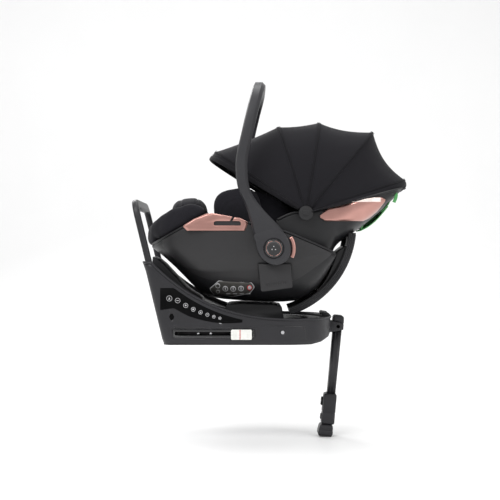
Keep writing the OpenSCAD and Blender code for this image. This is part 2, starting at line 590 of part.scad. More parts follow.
// ---- lower anchor arms ----
jaw_x = -250;
rail_x = [-226, 40];
module isofix_rails() color("#8d8d93") mirror_y() difference() {
  translate([rail_x[0], -arm_y - 10, arm_z[0] + 1])
    cube([rail_x[1] - rail_x[0], 20, arm_z[1] - arm_z[0] - 2]);
  // open on its outer side, where the slider's stem comes in
  translate([rail_x[0] - 1, -arm_y - 11, arm_z[0] + 3])
    cube([rail_x[1] - rail_x[0] - 20, 19, arm_z[1] - arm_z[0] - 6]);
}
arm_half = 6.5;
module isofix_connector() color("#3b3b3f") difference() {
  union() {
    translate([jaw_x - 16, -arm_y - anchor_w / 2, arm_z[0] - 1])
      cube([39, anchor_w, arm_z[1] - arm_z[0] + 2]);
    translate([jaw_x + 22, -arm_y - arm_half, arm_z[0] + 4])
      cube([slider_x[1] - jaw_x - 26, 2 * arm_half, arm_z[1] - arm_z[0] - 8]);
  }
  y_cyl(jaw_x, (arm_z[0] + arm_z[1]) / 2, jaw_r, -arm_y - anchor_w, -arm_y + anchor_w);
  translate([jaw_x - 30, -arm_y - anchor_w, (arm_z[0] + arm_z[1]) / 2 - jaw_r])
    cube([30, 2 * anchor_w, 2 * jaw_r]);
}
slider_x = [-90, -35];
stem_z = [25.3, 32.7];
module isofix_slider() color("#e9e9e6") {
  translate([slider_x[0], -half_base - 5.2, 14]) cube([slider_x[1] - slider_x[0], 4.6, 27]);
  translate([slider_x[0] + 8, -half_base - 0.7, stem_z[0]])
    cube([slider_x[1] - slider_x[0] - 16, half_base + 0.7 - arm_y - arm_half, stem_z[1] - stem_z[0]]);
}

// ================= support leg =================
leg_tilt = 5.5;
module in_leg() translate([leg_pivot[0], 0, leg_pivot[1]]) rotate([0, leg_tilt, 0]) children();
module rounded_bar(x0, x1, hy, r, z0, z1) translate([0, 0, z0]) linear_extrude(z1 - z0)
  offset(r = r, $fn = 32) translate([x0 + r, -hy + r]) square([x1 - x0 - 2 * r, 2 * hy - 2 * r]);
head_half = leg_tube_y / 2 + 4.4;
foot_top = -(leg_len - 32);
collar_top = foot_top + 86;
tube_wall = 2;
module leg_head() color("#2e2e34") in_leg() difference() {
  rounded_bar(-15.5, 16, head_half, 5, -9, 31);
  y_cyl(0, 0, leg_pin_r + run_gap, -60, 60);
}
module leg_tube() color("#2b2b30") in_leg() difference() {
  rounded_bar(-leg_tube_x / 2, leg_tube_x / 2, leg_tube_y / 2, 8, foot_top + 15, -9);
  rounded_bar(-leg_tube_x / 2 + tube_wall, leg_tube_x / 2 - tube_wall, leg_tube_y / 2 - tube_wall, 6,
    foot_top + 14, -16);
}
module leg_collar() color("#2f2f35") in_leg() difference() {
  union() {
    rounded_bar(-20.5, 16, leg_tube_y / 2 + 6, 7, foot_top + 1.2, collar_top);
    rounded_bar(-24, -16, 7, 2, foot_top + 12, foot_top + 27);
  }
  rounded_bar(-leg_tube_x / 2 - 0.3, leg_tube_x / 2 + 0.3, leg_tube_y / 2 + 0.3, 8.3,
    foot_top + 14.9, collar_top + 1);
  rounded_bar(-leg_tube_x / 2 + tube_wall, leg_tube_x / 2 - tube_wall, leg_tube_y / 2 - tube_wall, 6,
    foot_top, foot_top + 16);
  translate([-30, -8, collar_top - 36]) cube([15.7, 16, 24]);
}
leg_button_travel = 2.5;
module leg_button() color("#1a1a1d") in_leg()
  translate([-26.5, -7.5, collar_top - 35.5]) cube([11.9 - leg_button_travel, 15, 23]);
module leg_inner_tube() color("#77777d") in_leg()
  rounded_bar(-leg_tube_x / 2 + tube_wall + fit_gap, leg_tube_x / 2 - tube_wall - fit_gap,
    leg_tube_y / 2 - tube_wall - fit_gap, 5.5, foot_top, -60);
module leg_foot() color("#26262a") in_leg()
  rounded_bar(-27, 14, leg_tube_y / 2 + 11, 6, -leg_len + 4, foot_top);
module foot_sole() color("#161618") in_leg()
  rounded_bar(-25, 12, leg_tube_y / 2 + 9, 5, -leg_len, -leg_len + 4);
module leg_hinge_pin() color("#8f8f95")
  y_cyl(leg_pivot[0], leg_pivot[1], leg_pin_r - pin_fit, -ear_y[1], ear_y[1]);

base_casing();
rebound_bar();
base_deck();
bearing_ring();
slot_trims();
base_screws();
leg_hinge_pin();
turn_lever();
turntable_disc();
carrier_dock();
dock_hooks();
isofix_rails();
mirror([0, 1, 0]) isofix_connector();  // isofix_connector_left
isofix_connector();  // isofix_connector_right
mirror([0, 1, 0]) isofix_slider();  // isofix_slider_left
isofix_slider();  // isofix_slider_right
leg_head();
leg_tube();
leg_collar();
leg_button();
leg_inner_tube();
leg_foot();
foot_sole();
lower_shell();
mirror([0, 1, 0]) side_fairing();  // side_fairing_left
side_fairing();  // side_fairing_right
mirror([0, 1, 0]) belt_guide();  // belt_guide_left
belt_guide();  // belt_guide_right
hub_trims();
mirror([0, 1, 0]) adapter_socket();  // adapter_socket_left
adapter_socket();  // adapter_socket_right
pivot_hubs();
seat_liner();
leg_cushion();
infant_insert();
crotch_strap();
harness_buckle();
buckle_button();
adjuster_button();
carry_handle();
mirror([0, 1, 0]) handle_button();  // handle_button_left
handle_button();  // handle_button_right
back_shell();
mirror([0, 1, 0]) back_panel();  // back_panel_left
back_panel();  // back_panel_right
recline_band();
back_cushion();
shoulder_pads();
release_handle();
headrest();
canopy_rivets();
canopy_bow(0);  // canopy_bow_1
canopy_bow(1);  // canopy_bow_2
canopy_bow(2);  // canopy_bow_3
canopy_bow(3);  // canopy_bow_4
gore(0);  // canopy_gore_1
gore(1);  // canopy_gore_2
gore(2);  // canopy_gore_3
gore(3);  // canopy_gore_4
canopy_visor();
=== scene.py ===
"""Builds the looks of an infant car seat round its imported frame: shells, trim, fabrics and stage."""

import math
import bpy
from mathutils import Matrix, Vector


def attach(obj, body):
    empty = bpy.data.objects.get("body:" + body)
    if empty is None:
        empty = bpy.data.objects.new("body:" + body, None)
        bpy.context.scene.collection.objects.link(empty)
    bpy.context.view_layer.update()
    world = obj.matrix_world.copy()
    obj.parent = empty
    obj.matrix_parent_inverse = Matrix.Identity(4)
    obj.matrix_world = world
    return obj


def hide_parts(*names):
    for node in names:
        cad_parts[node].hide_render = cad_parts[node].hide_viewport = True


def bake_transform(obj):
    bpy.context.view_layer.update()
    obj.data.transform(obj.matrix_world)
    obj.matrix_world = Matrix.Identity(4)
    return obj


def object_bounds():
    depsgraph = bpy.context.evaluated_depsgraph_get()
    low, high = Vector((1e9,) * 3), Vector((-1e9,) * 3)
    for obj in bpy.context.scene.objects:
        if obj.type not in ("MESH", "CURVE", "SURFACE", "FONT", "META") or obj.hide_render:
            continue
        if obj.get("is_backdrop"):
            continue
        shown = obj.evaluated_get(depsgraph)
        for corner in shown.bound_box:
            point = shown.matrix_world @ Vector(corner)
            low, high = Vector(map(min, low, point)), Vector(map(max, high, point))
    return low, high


bl_info = {
    "name": "Infant car seat",
    "version": (1, 0, 0),
    "blender": (4, 5, 0),
    "location": "View3D > Sidebar > Car seat",
    "description": "Builds an infant car seat's shells, trim, cushions and canopy round its frame",
    "category": "Add Mesh",
}

import bmesh
import bpy
import numpy as np
from mathutils import Vector

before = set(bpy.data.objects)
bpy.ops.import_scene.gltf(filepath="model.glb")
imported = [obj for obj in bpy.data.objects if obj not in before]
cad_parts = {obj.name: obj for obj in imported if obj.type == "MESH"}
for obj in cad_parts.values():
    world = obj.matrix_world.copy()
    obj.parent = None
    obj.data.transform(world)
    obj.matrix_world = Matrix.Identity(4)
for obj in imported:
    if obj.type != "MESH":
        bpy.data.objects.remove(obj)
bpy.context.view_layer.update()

MM = 0.001


# ---------------------------------------------------------------- curves and outlines
def through(points, x):
    """Value at x of a smooth line through a few (x, value) points."""
    p = np.asarray(points, float)
    x = np.asarray(x, float)
    i = np.clip(np.searchsorted(p[1:-1, 0], x, side="right"), 0, len(p) - 2)
    lo = np.maximum(np.arange(len(p)) - 1, 0)
    hi = np.minimum(np.arange(len(p)) + 1, len(p) - 1)
    slope = (p[hi, 1] - p[lo, 1]) / (p[hi, 0] - p[lo, 0])
    h = p[i + 1, 0] - p[i, 0]
    t = np.clip((x - p[i, 0]) / h, 0, 1)
    m0, m1 = slope[i] * h, slope[i + 1] * h
    return (
        (2 * t**3 - 3 * t**2 + 1) * p[i, 1] + (t**3 - 2 * t**2 + t) * m0
        + (3 * t**2 - 2 * t**3) * p[i + 1, 1] + (t**3 - t**2) * m1
    )


def spow(v, e):
    """Signed power, for superellipses."""
    return np.sign(v) * np.abs(v) ** e


def ease(t):
    """Smooth step from 0 to 1."""
    t = np.clip(t, 0, 1)
    return t * t * (3 - 2 * t)


def even(points, count, closed=False):
    """Points spaced evenly along a line of points."""
    p = np.asarray(points, float)
    if closed:
        p = np.vstack([p, p[:1]])
    along = np.concatenate([[0], np.cumsum(np.linalg.norm(np.diff(p, axis=0), axis=1))])
    at = np.linspace(0, along[-1], count + 1 if closed else count)
    if closed:
        at = at[:-1]
    return np.stack([np.interp(at, along, p[:, k]) for k in range(p.shape[1])], 1)


def smooth_line(points, count, closed=False):
    """A smooth line of evenly spaced points through a few points."""
    p = np.asarray(points, float)
    n = len(p)
    out = []
    for i in range(n if closed else n - 1):
        a, b = p[i], p[(i + 1) % n]
        before = p[i - 1] if closed or i else a - (b - a)
        after = p[(i + 2) % n] if closed or i < n - 2 else b + (b - a)
        for t in np.linspace(0, 1, 12, endpoint=False):
            out.append(
                0.5 * (
                    2 * a + (b - before) * t + (2 * before - 5 * a + 4 * b - after) * t * t
                    + (3 * a - before - 3 * b + after) * t**3
                )
            )
    if not closed:
        out.append(p[-1])
    return even(out, count, closed)


def filleted(points, radius, steps=6):
    """A closed 2D outline with each corner rounded. radius is one value or one for each corner."""
    p = np.asarray(points, float)
    n = len(p)
    radii = [radius] * n if np.isscalar(radius) else radius
    out = []
    for i in range(n):
        a, b, c = p[i - 1], p[i], p[(i + 1) % n]
        u, v = (a - b) / np.linalg.norm(a - b), (c - b) / np.linalg.norm(c - b)
        half = math.acos(float(np.clip(u @ v, -1, 1))) / 2
        cut = min(
            radii[i] / max(math.tan(half), 1e-6), 0.48 * np.linalg.norm(a - b), 0.48 * np.linalg.norm(c - b)
        )
        if cut < 1e-6 or radii[i] <= 0:
            out.append(b)
            continue
        s, e = b + u * cut, b + v * cut
        for t in np.linspace(0, 1, steps + 1):
            out.append((1 - t) ** 2 * s + 2 * t * (1 - t) * b + t * t * e)
    return np.array(out)


def round_box(w, h, r, steps=5):
    """A closed rounded rectangle centred on the origin."""
    return filleted(rect(-w / 2, w / 2, -h / 2, h / 2), r, steps)


# ---------------------------------------------------------------- meshes
def placed_in_scene(name, mesh):
    """A new object that shows a mesh."""
    piece = bpy.data.objects.new(name, mesh)
    bpy.context.scene.collection.objects.link(piece)
    return piece


def discard(piece):
    """Removes a piece and its mesh."""
    mesh = piece.data
    bpy.data.objects.remove(piece)
    bpy.data.meshes.remove(mesh)


def put(name, verts, faces, uv=None):
    """A mesh object from points in millimetres. uv is one pair for each point."""
    mesh = bpy.data.meshes.new(name)
    points = [tuple(v) for v in np.asarray(verts, float) * MM]
    mesh.from_pydata(points, [], [list(map(int, f)) for f in faces])
    if uv is not None:
        layer = mesh.uv_layers.new(name="UVMap")
        at = np.empty(len(mesh.loops), np.int32)
        mesh.loops.foreach_get("vertex_index", at)
        layer.data.foreach_set("uv", (np.asarray(uv, float)[at] * MM).astype(np.float32).ravel())
    mesh.validate()
    mesh.polygons.foreach_set("use_smooth", [True] * len(mesh.polygons))
    mesh.update()
    return placed_in_scene(name, mesh)


def clean(piece, dist=0.02, recalc=True):
    """Merges doubled points, drops empty faces and, on a closed mesh, points the faces outwards."""
    bm = bmesh.new()
    bm.from_mesh(piece.data)
    bmesh.ops.remove_doubles(bm, verts=bm.verts, dist=dist * MM)
    bmesh.ops.dissolve_degenerate(bm, edges=bm.edges, dist=1e-7)
    if recalc:
        bmesh.ops.recalc_face_normals(bm, faces=bm.faces)
    bm.to_mesh(piece.data)
    bm.free()
    piece.data.update()
    return piece


def grid_faces(n, m, close_u=False, close_v=False):
    """Quads of an n by m grid of points, row by row."""
    faces = []
    for i in range(n if close_u else n - 1):
        for j in range(m if close_v else m - 1):
            a, b = i * m + j, i * m + (j + 1) % m
            c, d = ((i + 1) % n) * m + (j + 1) % m, ((i + 1) % n) * m + j
            faces.append((a, b, c, d))
    return faces


def lengths(grid):
    """Distances along the rows and columns of a grid, as its flat coordinates."""
    g = np.asarray(grid, float)
    n, m = g.shape[:2]
    u = np.zeros((n, m))
    v = np.zeros((n, m))
    v[:, 1:] = np.cumsum(np.linalg.norm(np.diff(g, axis=1), axis=2), axis=1)
    v -= v[:, m // 2 : m // 2 + 1]
    u[1:, :] = np.cumsum(np.linalg.norm(np.diff(g, axis=0), axis=2), axis=0)
    return np.stack([u.ravel(), v.ravel()], 1)


def sheet(name, grid, inside, close_v=False):
    """A one-sided surface through a grid of points. Its faces point away from the inside point."""
    g = np.asarray(grid, float)
    n, m = g.shape[:2]
    piece = put(name, g.reshape(-1, 3), grid_faces(n, m, False, close_v), lengths(g))
    clean(piece, recalc=False)
    middle = Vector(inside) * MM
    away = sum(p.normal.dot(p.center - middle) * p.area for p in piece.data.polygons)
    if away < 0:
        piece.data.flip_normals()
    return piece


def tube_faces(n, m):
    """Faces of a tube of n rings of m points, with both ends closed."""
    return [*grid_faces(n, m, False, True), tuple(range(m - 1, -1, -1)), tuple(range((n - 1) * m, n * m))]


def body_of_rings(name, rings):
    """A closed solid through rings of points of the same count."""
    g = np.asarray(rings, float)
    return clean(put(name, g.reshape(-1, 3), tube_faces(*g.shape[:2]), lengths(g)))


def plate(name, outline, lo, hi, plane="xz", edge=0.0, steps=2):
    """A flat piece: a closed outline given thickness between two planes, its edges rounded by edge."""
    o = np.asarray(outline, float)
    after = np.roll(o, -1, 0)
    along = after - np.roll(o, 1, 0)
    along /= np.maximum(np.linalg.norm(along, axis=1, keepdims=True), 1e-9)
    area = 0.5 * np.sum(o[:, 0] * after[:, 1] - after[:, 0] * o[:, 1])
    outwards = np.stack([along[:, 1], -along[:, 0]], 1) * (1 if area > 0 else -1)
    low = [(lo, 0)]
    if edge > 0:
        turns = [math.pi / 2 * k / steps for k in range(steps, -1, -1)]
        low = [(lo + edge * (1 - math.sin(a)), edge * (1 - math.cos(a))) for a in turns]
    levels = low + [(hi - (level - lo), inset) for level, inset in low][::-1]
    first, second, across = {"xz": (0, 2, 1), "xy": (0, 1, 2), "yz": (1, 2, 0)}[plane]
    rings = []
    for level, inset in levels:
        q = o - outwards * inset if inset > 0 else o
        ring = np.zeros((len(q), 3))
        ring[:, first], ring[:, second], ring[:, across] = q[:, 0], q[:, 1], level
        rings.append(ring)
    return body_of_rings(name, rings)


def slab(name, outline, side, lo, hi, **settings):
    """A plate in x and z between two distances from the seat's mid-plane, on one side of it."""
    return plate(name, outline, *sorted((side * lo, side * hi)), **settings)


def rect(x0, x1, z0, z1):
    """The corners of a rectangle."""
    return [(x0, z0), (x1, z0), (x1, z1), (x0, z1)]


def frames_along(path, side):
    """Two cross directions at each point of a path. side is kept as near to the first as it can be."""
    p = np.asarray(path, float)
    t = np.gradient(p, axis=0)
    t /= np.maximum(np.linalg.norm(t, axis=1, keepdims=True), 1e-9)
    s = np.broadcast_to(np.asarray(side, float), p.shape)
    a = s - t * np.sum(s * t, 1, keepdims=True)
    a /= np.maximum(np.linalg.norm(a, axis=1, keepdims=True), 1e-9)
    return a, np.cross(t, a)


def sweep(name, path, section, side=(0, 1, 0), scale=None, closed=False):
    """A section carried along a path. side is the section's first direction, scale one pair a point."""
    p = np.asarray(path, float)
    q = np.asarray(section, float)
    if closed:
        t = np.roll(p, -1, 0) - np.roll(p, 1, 0)
        t /= np.linalg.norm(t, axis=1, keepdims=True)
        s = np.broadcast_to(np.asarray(side, float), p.shape)
        a = s - t * np.sum(s * t, 1, keepdims=True)
        a /= np.linalg.norm(a, axis=1, keepdims=True)
        b = np.cross(t, a)
    else:
        a, b = frames_along(p, side)
    sc = np.ones((len(p), 2)) if scale is None else np.asarray(scale, float).reshape(len(p), 2)
    g = (
        p[:, None, :] + a[:, None, :] * (q[None, :, 0] * sc[:, 0:1])[..., None]
        + b[:, None, :] * (q[None, :, 1] * sc[:, 1:2])[..., None]
    )
    if closed:
        piece = put(name, g.reshape(-1, 3), grid_faces(len(p), len(q), True, True), lengths(g))
        return clean(piece)
    return body_of_rings(name, g)


def circle_of(r, n=12):
    """A circle of n points round the origin."""
    a = np.arange(n) * 2 * math.pi / n
    return np.stack([r * np.cos(a), r * np.sin(a)], 1)


def ring_points(x, z, r, n=28):
    """A circle of n points round a place."""
    return np.array([x, z]) + circle_of(r, n)


def joined(name, parts):
    """Several mesh objects made one."""
    bm = bmesh.new()
    for part in parts:
        bm.from_mesh(part.data)
    mesh = bpy.data.meshes.new(name)
    bm.to_mesh(mesh)
    bm.free()
    for part in parts:
        discard(part)
    return placed_in_scene(name, mesh)


def twin(piece, name):
    """A mirror image of the piece across the seat's mid-plane."""
    other = piece.copy()
    other.data = piece.data.copy()
    other.name = other.data.name = name
    bpy.context.scene.collection.objects.link(other)
    for v in other.data.vertices:
        v.co.y = -v.co.y
    other.data.flip_normals()
    return other


def walled(piece, wall):
    """Gives a sheet its wall, inwards, and makes it part of the mesh."""
    m = piece.modifiers.new("wall", "SOLIDIFY")
    m.thickness = wall * MM
    m.offset = -1.0
    m.use_even_offset = True
    m.use_quality_normals = True
    return settled(piece)


def rounded(piece, width, segments=2, angle=38):
    """Rounds the edges that are sharper than an angle."""
    b = piece.modifiers.new("edge", "BEVEL")
    b.width = width * MM
    b.segments = segments
    b.limit_method = "ANGLE"
    b.angle_limit = math.radians(angle)
    b.miter_outer = "MITER_ARC"
    return piece


def settled(piece):
    """The piece with its modifiers made part of its mesh."""
    dg = bpy.context.evaluated_depsgraph_get()
    dg.update()
    mesh = bpy.data.meshes.new_from_object(piece.evaluated_get(dg), depsgraph=dg)
    old = piece.data
    piece.modifiers.clear()
    piece.data = mesh
    mesh.name = piece.name
    bpy.data.meshes.remove(old)
    return piece


def cut(piece, *cutters):
    """Cuts the cutters out of the piece."""
    for c in cutters:
        m = piece.modifiers.new("cut", "BOOLEAN")
        m.operation = "DIFFERENCE"
        m.solver = "EXACT"
        m.object = c
        settled(piece)
        discard(c)
    return piece


def dressed(piece, body, finish, stands_for=()):
    """Gives a finished piece its material and its body, and hides the frame's parts that it stands for."""
    if finish is not None:
        piece.data.materials.clear()
        piece.data.materials.append(MATERIALS[finish])
    if body is not None:
        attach(piece, body)
    if stands_for:
        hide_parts(*stands_for)
    return piece


# ---------------------------------------------------------------- sizes and colours a user may change
def _length(name, text, default):
    """A length that can't be below zero."""
    return bpy.props.FloatProperty(name=name, description=text, default=default, unit="LENGTH", min=0.0)


def _colour(name, text, default):
    """A colour without alpha."""
    return bpy.props.FloatVectorProperty(
        name=name, description=text, default=default, size=3, min=0.0, max=1.0, subtype="COLOR"
    )


class CARSEAT_PG_carrier(bpy.types.PropertyGroup):
    """Sizes of the carrier."""

    wall: _length("Wall", "Wall of the lower and back shells", 0.005)
    fairing: _length("Fairing", "Thickness of the side fairings", 0.004)
    rim_bead: _length("Rim bead", "Radius of the bead along the lower shell's rim", 0.0034)


class CARSEAT_PG_handle(bpy.types.PropertyGroup):
    """Sizes of the carry handle."""

    rise: _length("Rise", "Height of the crossbar above the pivot", 0.443)
    thickness: _length("Thickness", "Thickness of an arm across the seat", 0.019)
    arm_width: _length("Arm width", "Width of an arm seen from the side", 0.031)
    button_radius: _length("Button radius", "Radius of the release buttons", 0.024)


class CARSEAT_PG_canopy(bpy.types.PropertyGroup):
    """Sizes of the canopy."""

    hem: _length("Hem", "Width of the front hem", 0.013)
    stitch: _length("Stitch", "Distance from one stitch to the next", 0.0042)


class CARSEAT_PG_base(bpy.types.PropertyGroup):
    """Sizes of the base and its leg."""

    wall: _length("Wall", "Wall of the base casing", 0.0035)
    rim_bead: _length("Rim bead", "Radius of the casing's rolled rim", 0.003)
    tube_x: _length("Leg tube depth", "Leg tube, front to back", 0.025)
    tube_y: _length("Leg tube width", "Leg tube, side to side", 0.036)
    leg_length: _length("Leg length", "From the leg's pivot to its sole", 0.306)


class CARSEAT_PG_colours(bpy.types.PropertyGroup):
    """Colours of the finishes."""

    base: _colour("Base", "Plastic of the base", (0.0128, 0.0124, 0.0148))
    shell: _colour("Shell", "Plastic of the lower shell", (0.0066, 0.0066, 0.0077))
    fairing: _colour("Fairing", "Plastic of the side fairings", (0.0150, 0.0145, 0.0156))
    handle: _colour("Handle", "Plastic of the carry handle", (0.0200, 0.0198, 0.0226))
    rose: _colour("Rose trim", "Satin rose trim", (0.445, 0.238, 0.205))
    canopy: _colour("Canopy", "Canopy cloth", (0.0078, 0.0074, 0.0092))
    cushion: _colour("Cushion", "Cushion cloth", (0.0098, 0.0094, 0.0122))
    green: _colour("Green pull", "Webbing of the green pull", (0.085, 0.300, 0.100))
    slider: _colour("Sliders", "Plastic of the anchor sliders", (0.78, 0.78, 0.74))


# ---------------------------------------------------------------- finishes
class Wire:
    """A shader socket that takes part in sums, as numbers do."""

    def __init__(self, tree, socket):
        self.tree = tree
        self.socket = socket

    def _sum(self, operation, first, second=None, clamp=False):
        maths = self.tree.nodes.new("ShaderNodeMath")
        maths.operation = operation
        maths.use_clamp = clamp
        for socket, value in zip(maths.inputs, (first, second)):
            if isinstance(value, Wire):
                self.tree.links.new(value.socket, socket)
            elif value is not None:
                socket.default_value = value
        return Wire(self.tree, maths.outputs[0])

    def __add__(self, other):
        return self._sum("ADD", self, other)

    def __radd__(self, other):
        return self._sum("ADD", other, self)

    def __sub__(self, other):
        return self._sum("SUBTRACT", self, other)

    def __rsub__(self, other):
        return self._sum("SUBTRACT", other, self)

    def __mul__(self, other):
        return self._sum("MULTIPLY", self, other)

    def __rmul__(self, other):
        return self._sum("MULTIPLY", other, self)

    def sine(self):
        return self._sum("SINE", self)

    def size(self):
        return self._sum("ABSOLUTE", self)

    def above(self, level):
        return self._sum("GREATER_THAN", self, level)

    def bigger(self, other):
        return self._sum("MAXIMUM", self, other)

    def held(self):
        """The value kept between 0 and 1."""
        return self._sum("ADD", self, 0.0, clamp=True)


class Finish:
    """A material being made: its nodes come from node(), its result goes to surface()."""

    def __init__(self, name):
        self.material = bpy.data.materials.new(name)
        self.material.use_nodes = True
        self.tree = self.material.node_tree
        self.tree.nodes.clear()

    def node(self, kind, settings=None, inputs=None, out=0):
        """A node of a kind, with its settings set first, then its sockets' values or links."""
        made = self.tree.nodes.new(kind)
        for key, value in (settings or {}).items():
            if key == "stops":
                ramp = made.color_ramp
                while len(ramp.elements) > len(value):
                    ramp.elements.remove(ramp.elements[-1])
                while len(ramp.elements) < len(value):
                    ramp.elements.new(0.5)
                for stop, (at, colour) in zip(ramp.elements, value):
                    stop.position = at
                    stop.color = colour
            else:
                setattr(made, key, value)
        for key, value in (inputs or {}).items():
            socket = made.inputs[key]
            if isinstance(value, Wire):
                self.tree.links.new(value.socket, socket)
            else:
                socket.default_value = value
        return Wire(self.tree, made.outputs[out])

    def place(self, out="Object"):
        """Object or UV coordinates."""
        return self.node("ShaderNodeTexCoord", out=out)

    def noise(self, at, scale, detail=3.0, rough=0.5, stretch=None):
        """A noise texture, stretched along the axes if asked."""
        if stretch:
            at = self.node("ShaderNodeMapping", inputs={"Vector": at, "Scale": stretch})
        return self.node(
            "ShaderNodeTexNoise", inputs={"Vector": at, "Scale": scale, "Detail": detail, "Roughness": rough}
        )

    def both(self, at):
        """The first two parts of some coordinates."""
        return (self.node("ShaderNodeSeparateXYZ", inputs={"Vector": at}, out=k) for k in (0, 1))

    def ramp(self, value, low, high):
        """value taken from low..high to 0..1."""
        return self.node(
            "ShaderNodeMapRange", {"clamp": True},
            {"Value": value, "From Min": low, "From Max": high, "To Min": 0.0, "To Max": 1.0}
        )

    def mix(self, factor, first, second):
        """Between two colours."""
        first, second = (c if isinstance(c, Wire) else (*c, 1.0) for c in (first, second))
        return self.node("ShaderNodeMix", {"data_type": "RGBA"}, {0: factor, 6: first, 7: second}, out=2)

    def bump(self, height, depth, strength=1.0, normal=None):
        """A bump from a height, on top of an earlier one."""
        inputs = {"Height": height, "Distance": depth, "Strength": strength}
        if normal is not None:
            inputs["Normal"] = normal
        return self.node("ShaderNodeBump", inputs=inputs)

    def surface(self, **inputs):
        """Ends the material in one principled shader."""
        plain = {key.replace("_", " "): value for key, value in inputs.items()}
        shader = self.node("ShaderNodeBsdfPrincipled", inputs=plain)
        out = self.tree.nodes.new("ShaderNodeOutputMaterial")
        self.tree.links.new(shader.socket, out.inputs["Surface"])
        return self.material


def shade(colour, by):
    """A colour made lighter or darker."""
    return tuple(min(1.0, c * by) for c in colour)


def grained_plastic(name, colour, rough=0.5, grain=1500.0, depth=0.00012, scuff=0.25, coat=0.0, shine=0.36):
    """Moulded plastic: a fine spark-eroded grain, slight colour drift, and scuffs that shine."""
    f = Finish(name)
    at = f.place()
    fine = f.noise(at, grain, 2.0, 0.6)
    broad = f.noise(at, 9.0, 4.0, 0.55)
    scuffs = f.ramp(f.noise(at, 60.0, 6.0, 0.7, (1.0, 1.0, 3.0)), 0.60, 0.72)
    tint = f.mix(f.ramp(broad, 0.3, 0.7), shade(colour, 0.86), shade(colour, 1.16))
    tint = f.mix(scuffs * scuff, tint, shade(colour, 1.7))
    tint = f.mix(f.ramp(fine, 0.35, 0.75) * 0.35, tint, shade(colour, 1.45))
    roughness = rough + (broad - 0.5) * 0.14 - scuffs * (0.12 * scuff * 4)
    return f.surface(
        Base_Color=tint, Roughness=roughness, Metallic=0.0, Coat_Weight=coat, Coat_Roughness=0.25,
        Specular_IOR_Level=shine, Normal=f.bump(fine, depth, 0.55)
    )


def polished(name, colour, rough=0.16, metallic=0.0, coat=0.5, haze=0.1, drift=1.12):
    """A smooth moulded or plated face with faint ripples and fine wiping marks."""
    f = Finish(name)
    at = f.place()
    ripple = f.noise(at, 22.0, 2.0, 0.4)
    marks = f.noise(at, 420.0, 3.0, 0.6, (1.0, 1.0, 0.15))
    tint = f.mix(f.ramp(ripple, 0.3, 0.7), shade(colour, 0.94), shade(colour, drift))
    return f.surface(
        Base_Color=tint, Roughness=rough + (marks - 0.5) * haze + (ripple - 0.5) * 0.06, Metallic=metallic,
        Coat_Weight=coat, Coat_Roughness=0.12, Normal=f.bump(marks * 0.3 + ripple, 0.0003, 0.12)
    )


def woven(name, colour, pitch=0.0011, rough=0.86, lift=1.6, slub=0.5, relief=0.00022, sheen=0.04):
    """Plain-woven cloth on its own flat coordinates: threads over and under, slubs and soft creases."""
    f = Finish(name)
    uv = f.place("UV")
    x, y = f.both(uv)
    turn = math.pi / pitch
    over = (x * turn).sine() * (y * turn).sine()
    warp = (x * (2 * turn)).sine().size()
    weft = (y * (2 * turn)).sine().size()
    thread = f.ramp(over, -0.4, 0.4)
    height = thread * warp + (1 - thread) * weft
    fibre = f.noise(uv, 2600.0, 2.0, 0.6)
    patch = f.noise(f.place(), 14.0, 4.0, 0.6)
    crease = f.noise(f.place(), 26.0, 3.0, 0.5, (1.0, 1.0, 0.45))
    tint = f.mix(height.held(), shade(colour, 0.72), shade(colour, lift))
    tint = f.mix(f.ramp(patch, 0.35, 0.7) * slub, tint, shade(colour, 1.35))
    return f.surface(
        Base_Color=tint, Roughness=rough + (fibre - 0.5) * 0.12, Specular_IOR_Level=0.16, Sheen_Weight=sheen,
        Sheen_Roughness=0.45, Normal=f.bump(height + fibre * 0.5, relief, 0.6, f.bump(crease, 0.0016, 0.35))
    )


def knitted(name, colour, scale=620.0, rough=0.92, lift=1.7, sheen=0.06):
    """Soft brushed knit for padded pieces, on object coordinates: small loops, pile and worn patches."""
    f = Finish(name)
    at = f.place()
    loops = f.node(
        "ShaderNodeTexVoronoi", {"feature": "F1"}, {"Vector": at, "Scale": scale, "Randomness": 0.55}
    )
    pile = f.noise(at, 1800.0, 3.0, 0.6)
    patch = f.noise(at, 16.0, 4.0, 0.6)
    crease = f.noise(at, 34.0, 3.0, 0.5)
    tint = f.mix(f.ramp(loops, 0.15, 0.75), shade(colour, lift), shade(colour, 0.7))
    tint = f.mix(f.ramp(patch, 0.35, 0.7) * 0.5, tint, shade(colour, 1.3))
    return f.surface(
        Base_Color=tint, Roughness=rough + (pile - 0.5) * 0.1, Specular_IOR_Level=0.16, Sheen_Weight=sheen,
        Sheen_Roughness=0.5, Normal=f.bump(pile * 0.6 - loops, 0.0005, 0.5, f.bump(crease, 0.0012, 0.3))
    )


def ribbed_webbing(name, colour, rough=0.75):
    """Harness webbing: a fine twill with a rolled edge, on its flat coordinates."""
    f = Finish(name)
    uv = f.place("UV")
    x, y = f.both(uv)
    twill = ((x + y) * (2 * math.pi / 0.0018)).sine()
    cross = ((x - y) * (2 * math.pi / 0.0018)).sine()
    height = f.ramp(twill.bigger(cross), -0.5, 1.0)
    fibre = f.noise(f.place(), 1500.0, 2.0, 0.6)
    tint = f.mix(height, shade(colour, 0.65), shade(colour, 1.5))
    return f.surface(
        Base_Color=tint, Roughness=rough + (fibre - 0.5) * 0.15, Specular_IOR_Level=0.25, Sheen_Weight=0.06,
        Normal=f.bump(height + fibre * 0.4, 0.0003, 0.6)
    )


